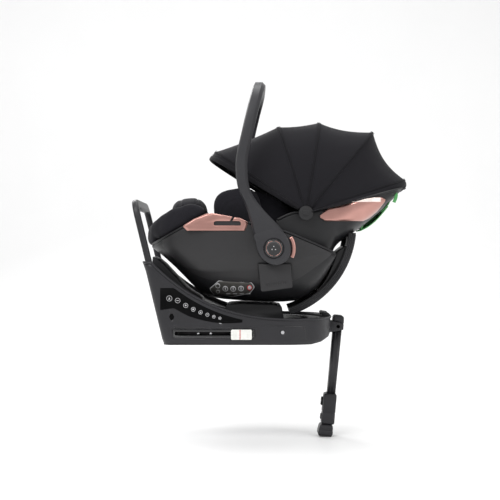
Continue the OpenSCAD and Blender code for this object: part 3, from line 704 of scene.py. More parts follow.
def metal(name, colour, rough=0.34, brushed=(1.0, 1.0, 0.05), metallic=1.0, coat=0.0):
    """Metal, brushed along one way, with light scratches."""
    f = Finish(name)
    at = f.place()
    grain = f.noise(at, 900.0, 2.0, 0.6, brushed)
    patch = f.noise(at, 24.0, 4.0, 0.6)
    tint = f.mix(f.ramp(patch, 0.35, 0.7), shade(colour, 0.88), shade(colour, 1.1))
    return f.surface(
        Base_Color=tint, Metallic=metallic, Roughness=rough + (grain - 0.5) * 0.22, Coat_Weight=coat,
        Normal=f.bump(grain, 0.0001, 0.35)
    )


def rubber(name, colour):
    """Matt rubber with dust in its grain."""
    f = Finish(name)
    at = f.place()
    fine = f.noise(at, 1100.0, 3.0, 0.6)
    dust = f.ramp(f.noise(at, 40.0, 5.0, 0.65), 0.5, 0.75)
    return f.surface(
        Base_Color=f.mix(dust * 0.5, colour, shade(colour, 2.6)), Roughness=0.78 + (fine - 0.5) * 0.2,
        Normal=f.bump(fine, 0.0003, 0.6)
    )


MATERIALS = {}


def make_finishes():
    """Makes every finish once, from the colours that are set."""
    c = bpy.context.scene.carseat_colours
    base, shell, fairing, handle = tuple(c.base), tuple(c.shell), tuple(c.fairing), tuple(c.handle)
    MATERIALS.update(
        base=grained_plastic("BaseShellPlastic", base, 0.46, coat=0.05),
        deck=grained_plastic("DeckPlastic", (0.0095, 0.0095, 0.0108), 0.55),
        gloss=polished("PianoBlack", (0.006, 0.006, 0.007), 0.12, coat=0.8),
        # near-black, barely shining plastic: the real sign band, and painted shade at the back of the belt guides'
        # slots and in the oval side holes
        band=grained_plastic(
            "IconBandAndPaintedShadePlastic", (0.003, 0.003, 0.0033), 0.5, depth=0.00006, scuff=0.05, shine=0.04
        ),
        white=grained_plastic("SliderPlastic", tuple(c.slider), 0.36, depth=0.00005, scuff=0.08),
        shell=grained_plastic("LowerShellPlastic", shell, 0.48, coat=0.06),
        fairing=grained_plastic("FairingPlastic", fairing, 0.47, coat=0.05),
        handle=grained_plastic("HandlePlastic", handle, 0.44, coat=0.08),
        rose=polished("RoseSatin", tuple(c.rose), 0.30, metallic=0.88, coat=0.2, haze=0.08),
        # painted highlight: a pale pink finish for a strip that stands in for the shine on the rose panels' upper
        # facet
        pearl=polished("RosePaintedHighlight", (0.90, 0.76, 0.71), 0.22, metallic=0.35, coat=0.5),
        socket=grained_plastic("SocketPlastic", (0.0165, 0.0160, 0.0172), 0.5),
        plate=grained_plastic("SidePlatePlastic", (0.052, 0.050, 0.046), 0.42, depth=0.00005),
        print=grained_plastic("IconGrey", (0.42, 0.42, 0.43), 0.5, depth=0.00003, scuff=0.1),
        red=polished("RedPlastic", (0.52, 0.018, 0.020), 0.3, coat=0.3),
        green=ribbed_webbing("GreenWebbing", tuple(c.green)),
        webbing=ribbed_webbing("BlackWebbing", (0.008, 0.008, 0.009)),
        canopy=woven("CanopyCloth", tuple(c.canopy)), cushion=knitted("CushionKnit", tuple(c.cushion)),
        cover=knitted("CoverKnit", shade(tuple(c.cushion), 0.85), 760.0),
        piping=woven("PipingCloth", shade(tuple(c.canopy), 0.75), pitch=0.0008),
        thread=woven("StitchThread", (0.022, 0.021, 0.025), pitch=0.0005, relief=0.0001),
        steel=metal("BrightSteel", (0.60, 0.60, 0.62), 0.30),
        coated=metal("PowderCoat", (0.014, 0.0135, 0.016), 0.42, (1.0, 1.0, 1.0), 0.15, 0.12),
        alloy=metal("SatinAlloy", (0.42, 0.42, 0.44), 0.38, (1.0, 1.0, 0.04)),
        rubber=rubber("SoleRubber", (0.014, 0.014, 0.015)),
        bow=grained_plastic("BowPlastic", (0.012, 0.012, 0.013), 0.5)
    )


def finish_node(name, key):
    """Gives a node of the frame its finish."""
    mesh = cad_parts[name].data
    mesh.materials.clear()
    mesh.materials.append(MATERIALS[key])


# ---------------------------------------------------------------- what repeats, made by Geometry Nodes
def _tree(name, sizes):
    """A Geometry Nodes tree with a mesh in, a mesh out, and named sizes."""
    tree = bpy.data.node_groups.new(name, "GeometryNodeTree")
    tree.interface.new_socket("Geometry", in_out="INPUT", socket_type="NodeSocketGeometry")
    for key, kind, value in sizes:
        socket = tree.interface.new_socket(key, in_out="INPUT", socket_type=kind)
        if value is not None:
            socket.default_value = value
    tree.interface.new_socket("Geometry", in_out="OUTPUT", socket_type="NodeSocketGeometry")
    return tree


def _add(tree, kind, inputs=None, **settings):
    """A node with its settings, and its sockets' values or links."""
    made = tree.nodes.new(kind)
    for key, value in settings.items():
        setattr(made, key, value)
    for key, value in (inputs or {}).items():
        if isinstance(value, bpy.types.NodeSocket):
            tree.links.new(value, made.inputs[key])
        else:
            made.inputs[key].default_value = value
    return made


def _end(tree, geometry, material, smooth=True):
    """Ends a tree: the copies made real, shaded and given their material."""
    last = _add(tree, "GeometryNodeRealizeInstances", {"Geometry": geometry})
    if smooth:
        last = _add(tree, "GeometryNodeSetShadeSmooth", {"Geometry": last.outputs[0]})
    painted = _add(tree, "GeometryNodeSetMaterial", {"Geometry": last.outputs[0], "Material": material})
    out = _add(tree, "NodeGroupOutput")
    tree.links.new(painted.outputs[0], out.inputs[0])
    return tree


def stitch_tree():
    """Short rounded stitches at even steps along the lines of the mesh."""
    tree = _tree(
        "Stitches",
        [
            ("Step", "NodeSocketFloat", 0.0042), ("Length", "NodeSocketFloat", 0.0028),
            ("Width", "NodeSocketFloat", 0.0009), ("Seed", "NodeSocketInt", 3),
            ("Thread", "NodeSocketMaterial", None)
        ]
    )
    given = _add(tree, "NodeGroupInput").outputs
    curve = _add(tree, "GeometryNodeMeshToCurve", {"Mesh": given["Geometry"]})
    points = _add(
        tree, "GeometryNodeCurveToPoints", {"Curve": curve.outputs[0], "Length": given["Step"]},
        mode="LENGTH"
    )
    turn = _add(tree, "FunctionNodeAlignEulerToVector", {"Vector": points.outputs["Tangent"]}, axis="X")
    ball = _add(tree, "GeometryNodeMeshUVSphere", {"Segments": 6, "Rings": 4, "Radius": 0.5})
    vary = _add(tree, "FunctionNodeRandomValue", {2: 0.9, 3: 1.1, "Seed": given["Seed"]}, data_type="FLOAT")
    length = _add(tree, "ShaderNodeMath", {0: given["Length"], 1: vary.outputs[1]}, operation="MULTIPLY")
    size = _add(tree, "ShaderNodeCombineXYZ", {0: length.outputs[0], 1: given["Width"], 2: given["Width"]})
    copies = _add(
        tree, "GeometryNodeInstanceOnPoints",
        {
            "Points": points.outputs[0], "Instance": ball.outputs[0], "Rotation": turn.outputs[0],
            "Scale": size.outputs[0]
        }
    )
    return _end(tree, copies.outputs[0], given["Thread"])


def screw_tree():
    """A round screw head with a hexagonal recess at each point, facing along the point's direction."""
    tree = _tree(
        "ScrewHeads",
        [
            ("Radius", "NodeSocketFloat", 0.0045), ("Height", "NodeSocketFloat", 0.002),
            ("Recess", "NodeSocketFloat", 0.0024), ("Facing", "NodeSocketVector", (0.0, 0.0, 1.0)),
            ("Steel", "NodeSocketMaterial", None)
        ]
    )
    given = _add(tree, "NodeGroupInput").outputs
    head = _add(
        tree, "GeometryNodeMeshCylinder",
        {"Vertices": 32, "Radius": given["Radius"], "Depth": given["Height"]}
    )
    hexagon = _add(
        tree, "GeometryNodeMeshCylinder",
        {"Vertices": 6, "Radius": given["Recess"], "Depth": given["Height"]}
    )
    lift = _add(tree, "ShaderNodeMath", {0: given["Height"], 1: 0.45}, operation="MULTIPLY")
    up = _add(tree, "ShaderNodeCombineXYZ", {2: lift.outputs[0]})
    raised = _add(
        tree, "GeometryNodeTransform", {"Geometry": hexagon.outputs[0], "Translation": up.outputs[0]}
    )
    holed = _add(
        tree, "GeometryNodeMeshBoolean", {"Mesh 1": head.outputs[0], "Mesh 2": raised.outputs[0]},
        operation="DIFFERENCE"
    )
    turn = _add(tree, "FunctionNodeAlignEulerToVector", {"Vector": given["Facing"]}, axis="Z")
    points = _add(tree, "GeometryNodeMeshToPoints", {"Mesh": given["Geometry"]})
    copies = _add(
        tree, "GeometryNodeInstanceOnPoints",
        {"Points": points.outputs[0], "Instance": holed.outputs[0], "Rotation": turn.outputs[0]}
    )
    return _end(tree, copies.outputs[0], given["Steel"], smooth=False)


def rib_tree():
    """A rounded rib carried along each line of the mesh: a small section swept by its curve."""
    tree = _tree(
        "Ribs",
        [
            ("Radius", "NodeSocketFloat", 0.0012), ("Sides", "NodeSocketInt", 8),
            ("Plastic", "NodeSocketMaterial", None)
        ]
    )
    given = _add(tree, "NodeGroupInput").outputs
    curve = _add(tree, "GeometryNodeMeshToCurve", {"Mesh": given["Geometry"]})
    ring = _add(
        tree, "GeometryNodeCurvePrimitiveCircle", {"Resolution": given["Sides"], "Radius": given["Radius"]}
    )
    swept = _add(
        tree, "GeometryNodeCurveToMesh",
        {"Curve": curve.outputs[0], "Profile Curve": ring.outputs[0], "Fill Caps": True}
    )
    return _end(tree, swept.outputs[0], given["Plastic"])


TREES = {}


def grown(name, maker, lines, **sizes):
    """A plain mesh from a tree: lines are polylines, or single points, in millimetres."""
    if maker.__name__ not in TREES:
        TREES[maker.__name__] = maker()
    tree = TREES[maker.__name__]
    verts, edges = [], []
    for line in lines:
        start = len(verts)
        verts += [tuple(np.asarray(v, float) * MM) for v in line]
        edges += [(start + i, start + i + 1) for i in range(len(line) - 1)]
    mesh = bpy.data.meshes.new(name)
    mesh.from_pydata(verts, edges, [])
    piece = placed_in_scene(name, mesh)
    modifier = piece.modifiers.new("grown", "NODES")
    modifier.node_group = tree
    for item in tree.interface.items_tree:
        key = item.name.lower()
        if item.item_type == "SOCKET" and item.in_out == "INPUT" and key in sizes:
            modifier[item.identifier] = sizes[key]
    settled(piece)
    return clean(piece, 0.001)


def ribbed(name, lines, radius, finish, body, sides=6):
    """Fine ribs along some lines, riding on a body."""
    ribs = grown(name, rib_tree, lines, radius=radius, sides=sides, plastic=MATERIALS[finish])
    return dressed(ribs, body, None)


def sewn(name, lines, seed, body, step=0.0045, length=0.003, width=0.001):
    """Stitches along some lines, riding on a body."""
    thread = grown(
        name, stitch_tree, lines, step=step, length=length, width=width, seed=seed,
        thread=MATERIALS["thread"]
    )
    return dressed(thread, body, None)


# ---------------------------------------------------------------- the carrier's forms, as the frame has them
BUCKET = 3.0
FOOT_X, TAIL_X = -305.0, 188.0
LOWER = [
    [
        [-305, 68.4], [-285, 117.8], [-250, 155.8], [-190, 180.5], [-110, 190], [40, 190], [120, 182.4],
        [188, 167.2]
    ],
    [
        [-305, 268], [-275, 280], [-220, 309], [-160, 337], [-130, 341], [-66, 329], [-40, 320], [46, 300],
        [110, 275], [188, 241]
    ],
    [
        [-305, 252], [-285, 238], [-249, 206], [-223, 180], [-197, 153], [-171, 130], [-131, 117],
        [-66, 111], [12, 107], [65, 108], [104, 116], [143, 145], [169, 184], [182, 212], [188, 228]
    ]
]
BACK = [
    [[30, 150], [190, 150], [240, 169.5], [320, 162], [355, 132], [374, 90]],
    [[30, 330], [70, 348], [107, 354], [184, 366], [277, 391], [374, 418]],
    [
        [30, 136], [60, 131], [100, 139], [140, 166], [175, 212], [192, 254], [225, 284], [267, 312],
        [337, 374], [374, 412]
    ]
]
PIVOT = (22.0, 254.0)
CANOPY_HUB = (108.0, 348.0)
HALF_C = 168.0
HUB_MIDDLE = np.array([CANOPY_HUB[0], 0, CANOPY_HUB[1]])
BOW_START = 0.7
BOWS = [(145, 300), (106.4, 252), (80.5, 257), (49.9, 297), (18.6, 296)]
VISOR = (149.2, 302)
GORE_SAG = [3, 4, 9, 16]
BOW_BODY = ["bow_1", "bow_2", "bow_3", "bow_4", "back"]


def bucket_y(form, x, z):
    """Half-width of a bucket form at a height."""
    w, zr, zb = (through(form[k], x) for k in range(3))
    t = np.clip((zr - z) / np.maximum(zr - zb, 0.1), 0, 1)
    return w * np.maximum(0, 1 - t**BUCKET) ** (1 / BUCKET)


def bucket_ring(x, w, zr, zb, m):
    """A bucket's cross-section from its right rim, under the keel, to its left rim."""
    a = np.linspace(0, math.pi, m + 1)
    return np.stack(
        [np.full(m + 1, x), -w * spow(np.cos(a), 2 / BUCKET), zr - (zr - zb) * spow(np.sin(a), 2 / BUCKET)],
        1
    )


def even_bucket(form, xs, inset, m):
    """A bucket form's sections, inset from it, with each section's points spaced evenly."""
    rings = []
    for x in xs:
        half, rim, keel = (through(line, x) for line in form)
        rings.append(even(bucket_ring(x, half - inset, rim, keel + inset, 160), m + 1))
    return np.array(rings)


def rim_line(form, xs, side, drop=0.0, out=0.0):
    """The rim along one side."""
    return np.array([[x, side * (through(form[0], x) + out), through(form[1], x) - drop] for x in xs])


# ---------------------------------------------------------------- base
BASE_HALF = 190.0
LEAN = 0.242
REAR_X, FRONT_X, FLAT_X = -269.0, 183.0, 117.0
RIM_FRONT, RIM_REAR = 66.0, 218.0
BASE_CORNER = 22.0
NOSE_POWER = 2.4
RIM_TOP_X = REAR_X - LEAN * RIM_REAR + 20
LEG_SLOT = rect(153, 230, -20, 100)
SIDE_HOLE = (-246, 74)


def rim_z(x):
    """Height of the base's rim at x."""
    t = np.clip((FLAT_X - np.asarray(x, float)) / (FLAT_X - RIM_TOP_X), 0, 1.2)
    return RIM_FRONT + (RIM_REAR - RIM_FRONT) * t**2.8


def plan_half(x, inset=0.0):
    """Half-width of the base's plan at x."""
    t = np.clip((np.asarray(x, float) - 40) / (FRONT_X - 40 - inset), 0, 1)
    return (BASE_HALF - inset) * (1 - t**NOSE_POWER) ** (1 / NOSE_POWER)


def keel_z(x):
    """Height of the base's underside at x: it sweeps up under the nose."""
    return float(np.interp(x, [122, 150, 173, 185], [0, 5, 16, 34]))


def casing_loops():
    """Bottom and top lines round the base's wall, point for point, from the middle of the rear."""
    dip = 196.0
    low, high = [], []
    # rear wall, from the middle to the corner
    for y in np.linspace(0, BASE_HALF - BASE_CORNER, 14):
        top = dip + (RIM_REAR - dip) * ease((y - 138) / 26)
        low.append((REAR_X, -y, 0))
        high.append((REAR_X - LEAN * top, -y, top))
    for a in np.linspace(0, math.pi / 2, 8)[1:]:
        dx, dy = BASE_CORNER * (1 - math.cos(a)), BASE_CORNER * math.sin(a)
        y = BASE_HALF - BASE_CORNER + dy
        low.append((REAR_X + dx, -y, 0))
        high.append((REAR_X - LEAN * RIM_REAR + dx, -y, RIM_REAR - 0.1 * dx))
    # sides
    foot_x = REAR_X + BASE_CORNER
    top_x = foot_x - LEAN * RIM_REAR
    for share in np.arange(1, 45) / 44:
        xb = foot_x + (FLAT_X - foot_x) * share
        xt = top_x + (FLAT_X - top_x) * share
        low.append((xb, -plan_half(xb), 0))
        high.append((xt, -plan_half(xt), float(min(rim_z(xt), RIM_REAR - 2))))
    # nose
    nose = FRONT_X - (FRONT_X - FLAT_X) * np.linspace(1, 0, 400) ** 2.2
    for x, y in even(np.stack([nose, plan_half(nose)], 1), 26)[1:]:
        low.append((x, -y, keel_z(x)))
        high.append((x, -y, RIM_FRONT))
    low, high = np.array(low), np.array(high)
    flip = np.array([1, -1, 1])
    low = np.vstack([low, (low[1:-1] * flip)[::-1]])
    high = np.vstack([high, (high[1:-1] * flip)[::-1]])
    return low, high


class CARSEAT_OT_base(bpy.types.Operator):
    """Makes the base's casing with its rolled rim, underside, leg ears and rebound bar"""

    bl_idname = "carseat.base"
    bl_label = "Base casing"

    def execute(self, context):
        sizes = context.scene.carseat_base
        wall = sizes.wall / MM
        low, high = casing_loops()
        rows = 14
        # the wall tucks in at its foot
        t = np.linspace(0, 1, rows + 1)
        grid = low[None] * (1 - t)[:, None, None] + high[None] * t[:, None, None]
        centre = np.array([-60.0, 0, 0])
        out = grid - centre
        out[..., 2] = 0
        out /= np.maximum(np.linalg.norm(out, axis=2, keepdims=True), 1)
        tuck = -2.2 * np.exp(-((grid[..., 2] / 5.0) ** 2))
        grid += out * tuck[..., None]
        shell = sheet("shell", grid, inside=(-60, 0, 60), close_v=True)
        walled(shell, wall)
        # underside, with the leg's channel open in the middle
        stations = np.concatenate([np.linspace(REAR_X + 1, 122, 30), np.linspace(122, FRONT_X - 1, 14)[1:]])
        floor_rows = []
        for x in stations:
            half = float(plan_half(x)) - 1.5
            if x < REAR_X + BASE_CORNER:
                half -= BASE_CORNER - math.sqrt(max(0, BASE_CORNER**2 - (REAR_X + BASE_CORNER - x) ** 2))
            floor_rows.append([(x, y, keel_z(x)) for y in np.linspace(-half, half, 25)])
        under = sheet("under", floor_rows, inside=(0, 0, 60))
        walled(under, wall)
        channel = plate("channel", rect(-135, 159, -60, 43.5), -30, 30)
        cut(under, channel, plate("slot", LEG_SLOT, -23, 23))
        # channel walls and roof
        roof = plate(
            "roof",
            filleted(
                [(-138, 0.5), (-138, 46.5), (150, 46.5), (150, 43.5), (-135, 43.5), (-135, 0.5)], 0.6, 2
            ),
            -33, 33
        )
        sides = [
            plate(
                "side", filleted([(-138, 0.5), (-138, 46.5), (152, 46.5), (152, 4)], 0.5, 2), y0, y1
            ) for y0,
            y1 in ((-33, -30), (30, 33))
        ]
        ears = []
        for s in (-1, 1):
            outline = np.vstack(
                [
                    np.array([204, 38]) + 12 * np.array(
                        [(math.cos(a), math.sin(a)) for a in np.linspace(-1.35, 1.55, 18)]
                    ),
                    [(175, 55), (150, 55), (150, 20), (178, 22)]
                ]
            )
            ears.append(slab("ear", outline, s, 23.2, 32, edge=1.2))
        # rolled rim
        bead = sizes.rim_bead / MM
        loop = high.copy()
        loop[:, 2] += 0.2
        rim = sweep("rim", loop, circle_of(bead, 14), side=(0, 0, 1), closed=True)
        cutters = [plate("slot", LEG_SLOT, -23, 23)]
        for s in (-1, 1):
            cutters.append(slab("slot", filleted(rect(-244, -28, 19, 41), 7, 5), s, 180, 196))
            for x, z, r in ((-118, 60, 5.7), (46, 33, 5.2)):
                cutters.append(slab("hole", ring_points(x, z, r, 24), s, 180, 196))
            cutters.append(
                slab("hole", np.array(SIDE_HOLE) + circle_of(1, 28) * np.array([6.0, 8.5]), s, 180, 196)
            )
            cutters.append(slab("mouth", filleted(rect(-330, -240, 11, 41), 4, 3), s, 123, 157))
        cut(shell, *cutters)
        casing = joined("Base_Casing", [shell, under, roof, *sides, *ears, rim])
        dressed(casing, "base", "base", ["base_casing"])

        # shallow panel lines and the step along the side
        lines = []
        for s in (-1, 1):
            y = s * (BASE_HALF + 0.1)
            lines.append([(x, y, 46) for x in np.linspace(-246, -18, 30)])
            front = [(-8, y, 52), (60, y, 49.5), (100, s * (plan_half(100) + 0.1), 47.5)]
            lines.append(smooth_line(front, 16))
            drop = [(x, s * (plan_half(x) + 0.1), z) for x, z in ((104, 46.5), (106, 34), (108, 14))]
            lines.append(smooth_line(drop, 8))
        ribbed("Base_Panel_Lines", lines, 0.0007, "gloss", "base")

        # rebound bar: a flat hoop that follows the lean of the rear face
        slope = math.atan(LEAN)
        top_len = (390 - 165) / math.cos(slope)
        half = 185.5 - 11.5
        line = filleted(
            [(-half, -60), (-half, top_len - 19), (half, top_len - 19), (half, -60)], [0, 44, 44, 0], 16
        )
        line = even(line, 150)
        foot_x = REAR_X - LEAN * 165 + 5.5
        up = np.array([-math.sin(slope), 0, math.cos(slope)])
        across = np.array([0, 1, 0])
        off = np.array([math.cos(slope), 0, math.sin(slope)])
        path = np.array([foot_x, 0, 165]) + line[:, :1] * across + line[:, 1:] * up + off * 8.5
        lift = ease((line[:, 1] - top_len * 0.55) / (top_len * 0.45))
        level = ease((half - np.abs(line[:, 0])) / 60)
        wide = 23 + (28 - 23) * np.minimum(lift, 1) * level
        section = filleted(round_box(17, 23, 6.5, 5), 0.2, 1)
        scale = np.stack([np.ones(len(path)), wide / 23], 1)
        shift = (wide - 23) / 2
        path = path - shift[:, None] * up
        bar = sweep("Rebound_Bar", path, section, side=off, scale=scale)
        dressed(bar, "base", "base", ["rebound_bar"])
        return {"FINISHED"}


def spun(name, profile, closed=False, steps=144):
    """A piece turned about the turntable's axis from a line of (radius, height) points."""
    around = np.linspace(0, 2 * math.pi, steps + 1)[:-1]
    grid = np.array([[(r * math.cos(a), r * math.sin(a), z) for r, z in profile] for a in around])
    return clean(put(name, grid.reshape(-1, 3), grid_faces(steps, grid.shape[1], True, closed)))


class CARSEAT_OT_base_inside(bpy.types.Operator):
    """Makes the deck, turntable, dock and release lever inside the base"""

    bl_idname = "carseat.base_inside"
    bl_label = "Deck and turntable"

    def execute(self, context):
        xs = np.concatenate([np.linspace(RIM_TOP_X + 2, FLAT_X, 44), np.linspace(FLAT_X, FRONT_X - 8, 16)[1:]])
        rows = []
        for x in xs:
            half = float(plan_half(x, 4.2))
            z = float(rim_z(x)) - 12
            y = np.linspace(-1, 1, 49) * half
            lip = 2.5 * np.exp(-(((half - np.abs(y)) / 5.0) ** 2))
            rows.append(np.stack([np.full(49, x), y, z + lip], 1))
        deck = sheet("Base_Deck", rows, inside=(0, 0, -400))
        walled(deck, 3.2)
        hole = plate("cutter", circle_of(165.6, 96), 0, 300, plane="xy")
        notch = plate("cutter", rect(152, 230, 20, 120), -32.6, 32.6)
        cut(deck, hole, notch)
        rounded(deck, 0.8, 2, 50)
        dressed(deck, "base", "deck", ["base_deck"])

        # a raised ramp behind the turntable, just clear of the carrier as it turns
        crest = [
            (-306, 232), (-290, 225), (-275, 212), (-260, 196), (-245, 180), (-230, 163), (-215, 148),
            (-200, 136), (-185, 127), (-172, 119), (-168, 80)
        ]
        bed = [(x, float(rim_z(x)) - 14) for x in np.linspace(-170, -308, 18)]
        ramp = plate("Base_Ramp", np.array(crest + bed), -70, 70, edge=3.0, steps=3)
        dressed(ramp, "base", "deck")

        ring = [
            (138.2, 47), (164.8, 47), (164.8, 60.6), (163.4, 62), (149.8, 62), (148.5, 60.8), (148.5, 51),
            (138.2, 51)
        ]
        race = spun("Bearing_Ring", filleted(ring, 0.5, 2), closed=True)
        cut(race, plate("cutter", rect(159, 230, 40, 90), -32.6, 32.6))
        dressed(race, "base", "deck", ["bearing_ring"])

        disc_line = [
            (0.01, 51.3), (147.8, 51.3), (147.8, 62.2), (146.2, 63.8), (128, 63.8), (124, 62.4), (100, 62.4),
            (0.01, 62.4)
        ]
        disc_line = filleted(disc_line, [0, 0.6, 1, 1, 2, 2, 2, 0], 2)
        disc = spun("Turntable_Disc", disc_line)
        places = [(126 * math.cos(a), 126 * math.sin(a)) for a in np.radians(np.arange(30, 331, 60))]
        cut(disc, *[plate("well", ring_points(x, y, 9), 60.6, 70, plane="xy") for x, y in places])
        dressed(disc, "turntable", "deck", ["turntable_disc"])
        at = [[(x, y, 61.6)] for x, y in places]
        bolts = grown(
            "Turntable_Screws", screw_tree, at, radius=0.006, height=0.0018, recess=0.003,
            facing=(0.0, 0.0, 1.0), steel=MATERIALS["steel"]
        )
        dressed(bolts, "turntable", None)
        ribs = []
        for a in np.radians(np.arange(0, 360, 7.5)):
            ribs.append([(r * math.cos(a), r * math.sin(a), 62.7) for r in (104, 112, 121)])
        ribbed("Turntable_Ribs", ribs, 0.0008, "deck", "turntable")

        line = filleted(
            [(-116, 62.6), (-104, 102), (-60, 106), (20, 103), (46, 98), (52, 62.6)], [0, 12, 20, 20, 8, 0],
            6
        )
        dock = plate("Carrier_Dock", line, -96, 96, edge=5, steps=4)
        wells = []
        for x in (-84, 34):
            for s in (-1, 1):
                wells.append(slab("well", filleted(rect(x - 9, x + 9, 70, 130), 1.5, 2), s, 58, 72))
        cut(dock, *wells)
        dressed(dock, "turntable", "deck", ["carrier_dock"])
        grooves = [
            [(x, y, float(np.interp(x, [-60, 20], [106.4, 103.4]))) for y in np.linspace(-46, 46, 12)]
            for x in range(-52, 16, 9)
        ]
        ribbed("Dock_Treads", grooves, 0.0011, "shell", "turntable")

        arm = filleted([(158, 68), (156, 77), (161, 80), (176, 77), (181, 72), (180, 68)], 1.5, 3)
        parts = [plate("lever", arm, s0, s1, edge=0.8) for s0, s1 in ((-58, -35), (35, 58))]
        parts.append(
            plate(
                "bridge", filleted([(158, 74), (157, 77), (161, 80), (168, 79), (168, 74)], 1.2, 3), -35.1,
                35.1, edge=0.6
            )
        )
        lever = joined("Turn_Lever", parts)
        dressed(lever, "turn_lever", "deck", ["turn_lever"])
        for node in ("dock_hooks", "isofix_rails", "leg_hinge_pin"):
            finish_node(node, "steel")
        return {"FINISHED"}


def raised_sign(points, y, s, thick=0.45):
    """A small raised sign on the base's side."""
    return slab("sign", points, s, y, y + thick)


class CARSEAT_OT_base_trim(bpy.types.Operator):
    """Makes the base's side trim: sign band, slots, sliders, side screws and anchor arms"""

    bl_idname = "carseat.base_trim"
    bl_label = "Base trim and anchor arms"

    def execute(self, context):
        # a dark band that follows the rim and narrows to the front, with plain signs on it
        xs = np.linspace(-276, -60, 40)
        top = np.array([float(rim_z(x)) for x in xs]) - 13
        top = np.minimum(top, 150)
        bottom = np.maximum(top - np.interp(xs, [-276, -200, -120, -60], [58, 47, 26, 7]), 52)
        outline = filleted(np.vstack([np.stack([xs, bottom], 1), np.stack([xs, top], 1)[::-1]]), 1.0, 1)
        for s, tag in ((-1, "Right"), (1, "Left")):
            band = slab("Sign_Band_" + tag, outline, s, BASE_HALF - 0.4, BASE_HALF + 0.9, edge=0.35, steps=1)
            dressed(band, "base", "band")
            signs = []
            y = BASE_HALF + 0.7
            for k, x in enumerate((-252, -230, -209, -189, -170, -152, -135, -119)):
                z = float(np.interp(x, xs, (top + bottom) / 2))
                r = float(np.interp(x, [-252, -119], [7.5, 4.0]))
                rim = raised_sign(ring_points(x, z, r), y, s)
                cut(rim, raised_sign(ring_points(x, z, r - 1.1), y - 1, s, 2.2))
                bar, tile = r * 0.5, r * 0.4
                shape = [
                    [(x - tile, z - tile), (x + tile, z - tile), (x, z + r * 0.5)],
                    rect(x - bar, x + bar, z - r * 0.12, z + r * 0.12), ring_points(x, z, r * 0.38, 14),
                    rect(x - tile, x + tile, z - r * 0.35, z + r * 0.35)
                ][k % 4]
                signs += [rim, raised_sign(shape, y, s)]
            sign = joined("Band_Signs_" + tag, signs)
            dressed(sign, "base", "print")

        # slot trims, with their guide marks
        parts, marks = [], []
        for s in (-1, 1):
            trim = slab("trim", filleted(rect(-243.6, -28.4, 19.4, 40.6), 7, 5), s, 185.5, 190.9, edge=0.8)
            cut(trim, slab("cutter", filleted(rect(-238, -33, 24.7, 35.3), 4.5, 5), s, 180, 196))
            parts.append(trim)
            for x in (-176, -143):
                marks.append(slab("m", filleted(rect(x - 3, x + 3, 27.6, 32.4), 0.8, 2), s, 186.5, 188.2))
        dressed(joined("Slot_Trims", parts), "base", "gloss", ["slot_trims"])
        dressed(joined("Slot_Marks", marks), "base", "steel")
        for s, tag in ((-1, "right"), (1, "left")):
            body = "anchor_" + tag
            grip = slab("grip", filleted(rect(-90, -35, 14, 41), 4.5, 5), s, 190.8, 195.0, edge=1.6, steps=3)
            stem = slab("stem", rect(-82, -43, 25.3, 32.7), s, 146.5, 191)
            slide = joined("Anchor_Slider_" + tag, [grip, stem])
            dressed(slide, body, "white", ["isofix_slider_" + tag])
            lines = [[(x, s * 195.1, 18.5), (x, s * 195.1, 36.5)] for x in (-84, -80.5, -77, -48, -44.5, -41)]
            ribbed("Slider_Ribs_" + tag, lines, 0.0007, "white", body)
            line = slab("Slider_Line_" + tag, rect(-67.2, -65.0, 14.8, 40.2), s, 194.7, 195.3)
            dressed(line, body, "red")
            # the connector: a rounded head with an open jaw on a flat steel arm
            c = s * 140
            head = plate("head", filleted(rect(-266, -227, 14, 38), [5, 3, 3, 5], 4), c - 13, c + 13, edge=1.5)
            jaw = plate(
                "cutter",
                filleted(
                    [(-290, 22.8), (-250, 22.8), (-246.8, 26), (-250, 29.2), (-290, 29.2)], [0, 1, 3, 1, 0],
                    3
                ),
                c - 20, c + 20
            )
            cut(head, jaw)
            bar = plate("arm", filleted(rect(-229, -40, 19, 33), 1, 2), c - 6.5, c + 6.5, edge=0.6)
            hook = joined("Anchor_Connector_" + tag, [head, bar])
            dressed(hook, body, "coated", ["isofix_connector_" + tag])
        for s, tag in ((-1, "Right"), (1, "Left")):
            at = [[(x, s * 188.4, z)] for x, z in ((-118, 60), (46, 33))]
            heads = grown(
                "Side_Screws_" + tag, screw_tree, at, radius=0.0045, height=0.002, recess=0.0024,
                facing=(0.0, float(s), 0.0), steel=MATERIALS["steel"]
            )
            dressed(heads, "base", None)
        # near-black, barely shining plugs set just inside the oval side holes: painted shade that makes the holes
        # look dark and deep
        plug = joined(
            "Side_Hole_Painted_Shade",
            [
                slab(
                    "plug", np.array(SIDE_HOLE) + circle_of(1, 28) * np.array([5.6, 8.1]), s, 186.5, 189.2,
                    edge=0.8
                )
                for s in (-1, 1)
            ]
        )
        dressed(plug, "base", "band", ["base_screws"])
        return {"FINISHED"}


# ---------------------------------------------------------------- support leg
LEG_TILT = math.radians(5.5)
LEG_AT = np.array([204.0, 0.0, 38.0])
LEG_X = np.array([math.cos(LEG_TILT), 0, -math.sin(LEG_TILT)])
LEG_Z = np.array([math.sin(LEG_TILT), 0, math.cos(LEG_TILT)])


def on_leg(p):
    """Points of the leg's own frame in the seat's frame."""
    p = np.asarray(p, float)
    return LEG_AT + p[..., :1] * LEG_X + p[..., 1:2] * np.array([0, 1, 0]) + p[..., 2:] * LEG_Z


def leg_stack(name, levels, r, steps=6):
    """A solid through rounded rectangles [z, x0, x1, half-depth, inset] along the leg."""
    rings = []
    for z, x0, x1, hy, cut_in in levels:
        w, d = (x1 - x0) - 2 * cut_in, 2 * hy - 2 * cut_in
        q = round_box(w, d, max(0.5, r - cut_in), steps)
        rings.append(on_leg(np.stack([q[:, 0] + (x0 + x1) / 2, q[:, 1], np.full(len(q), z)], 1)))
    return body_of_rings(name, rings)


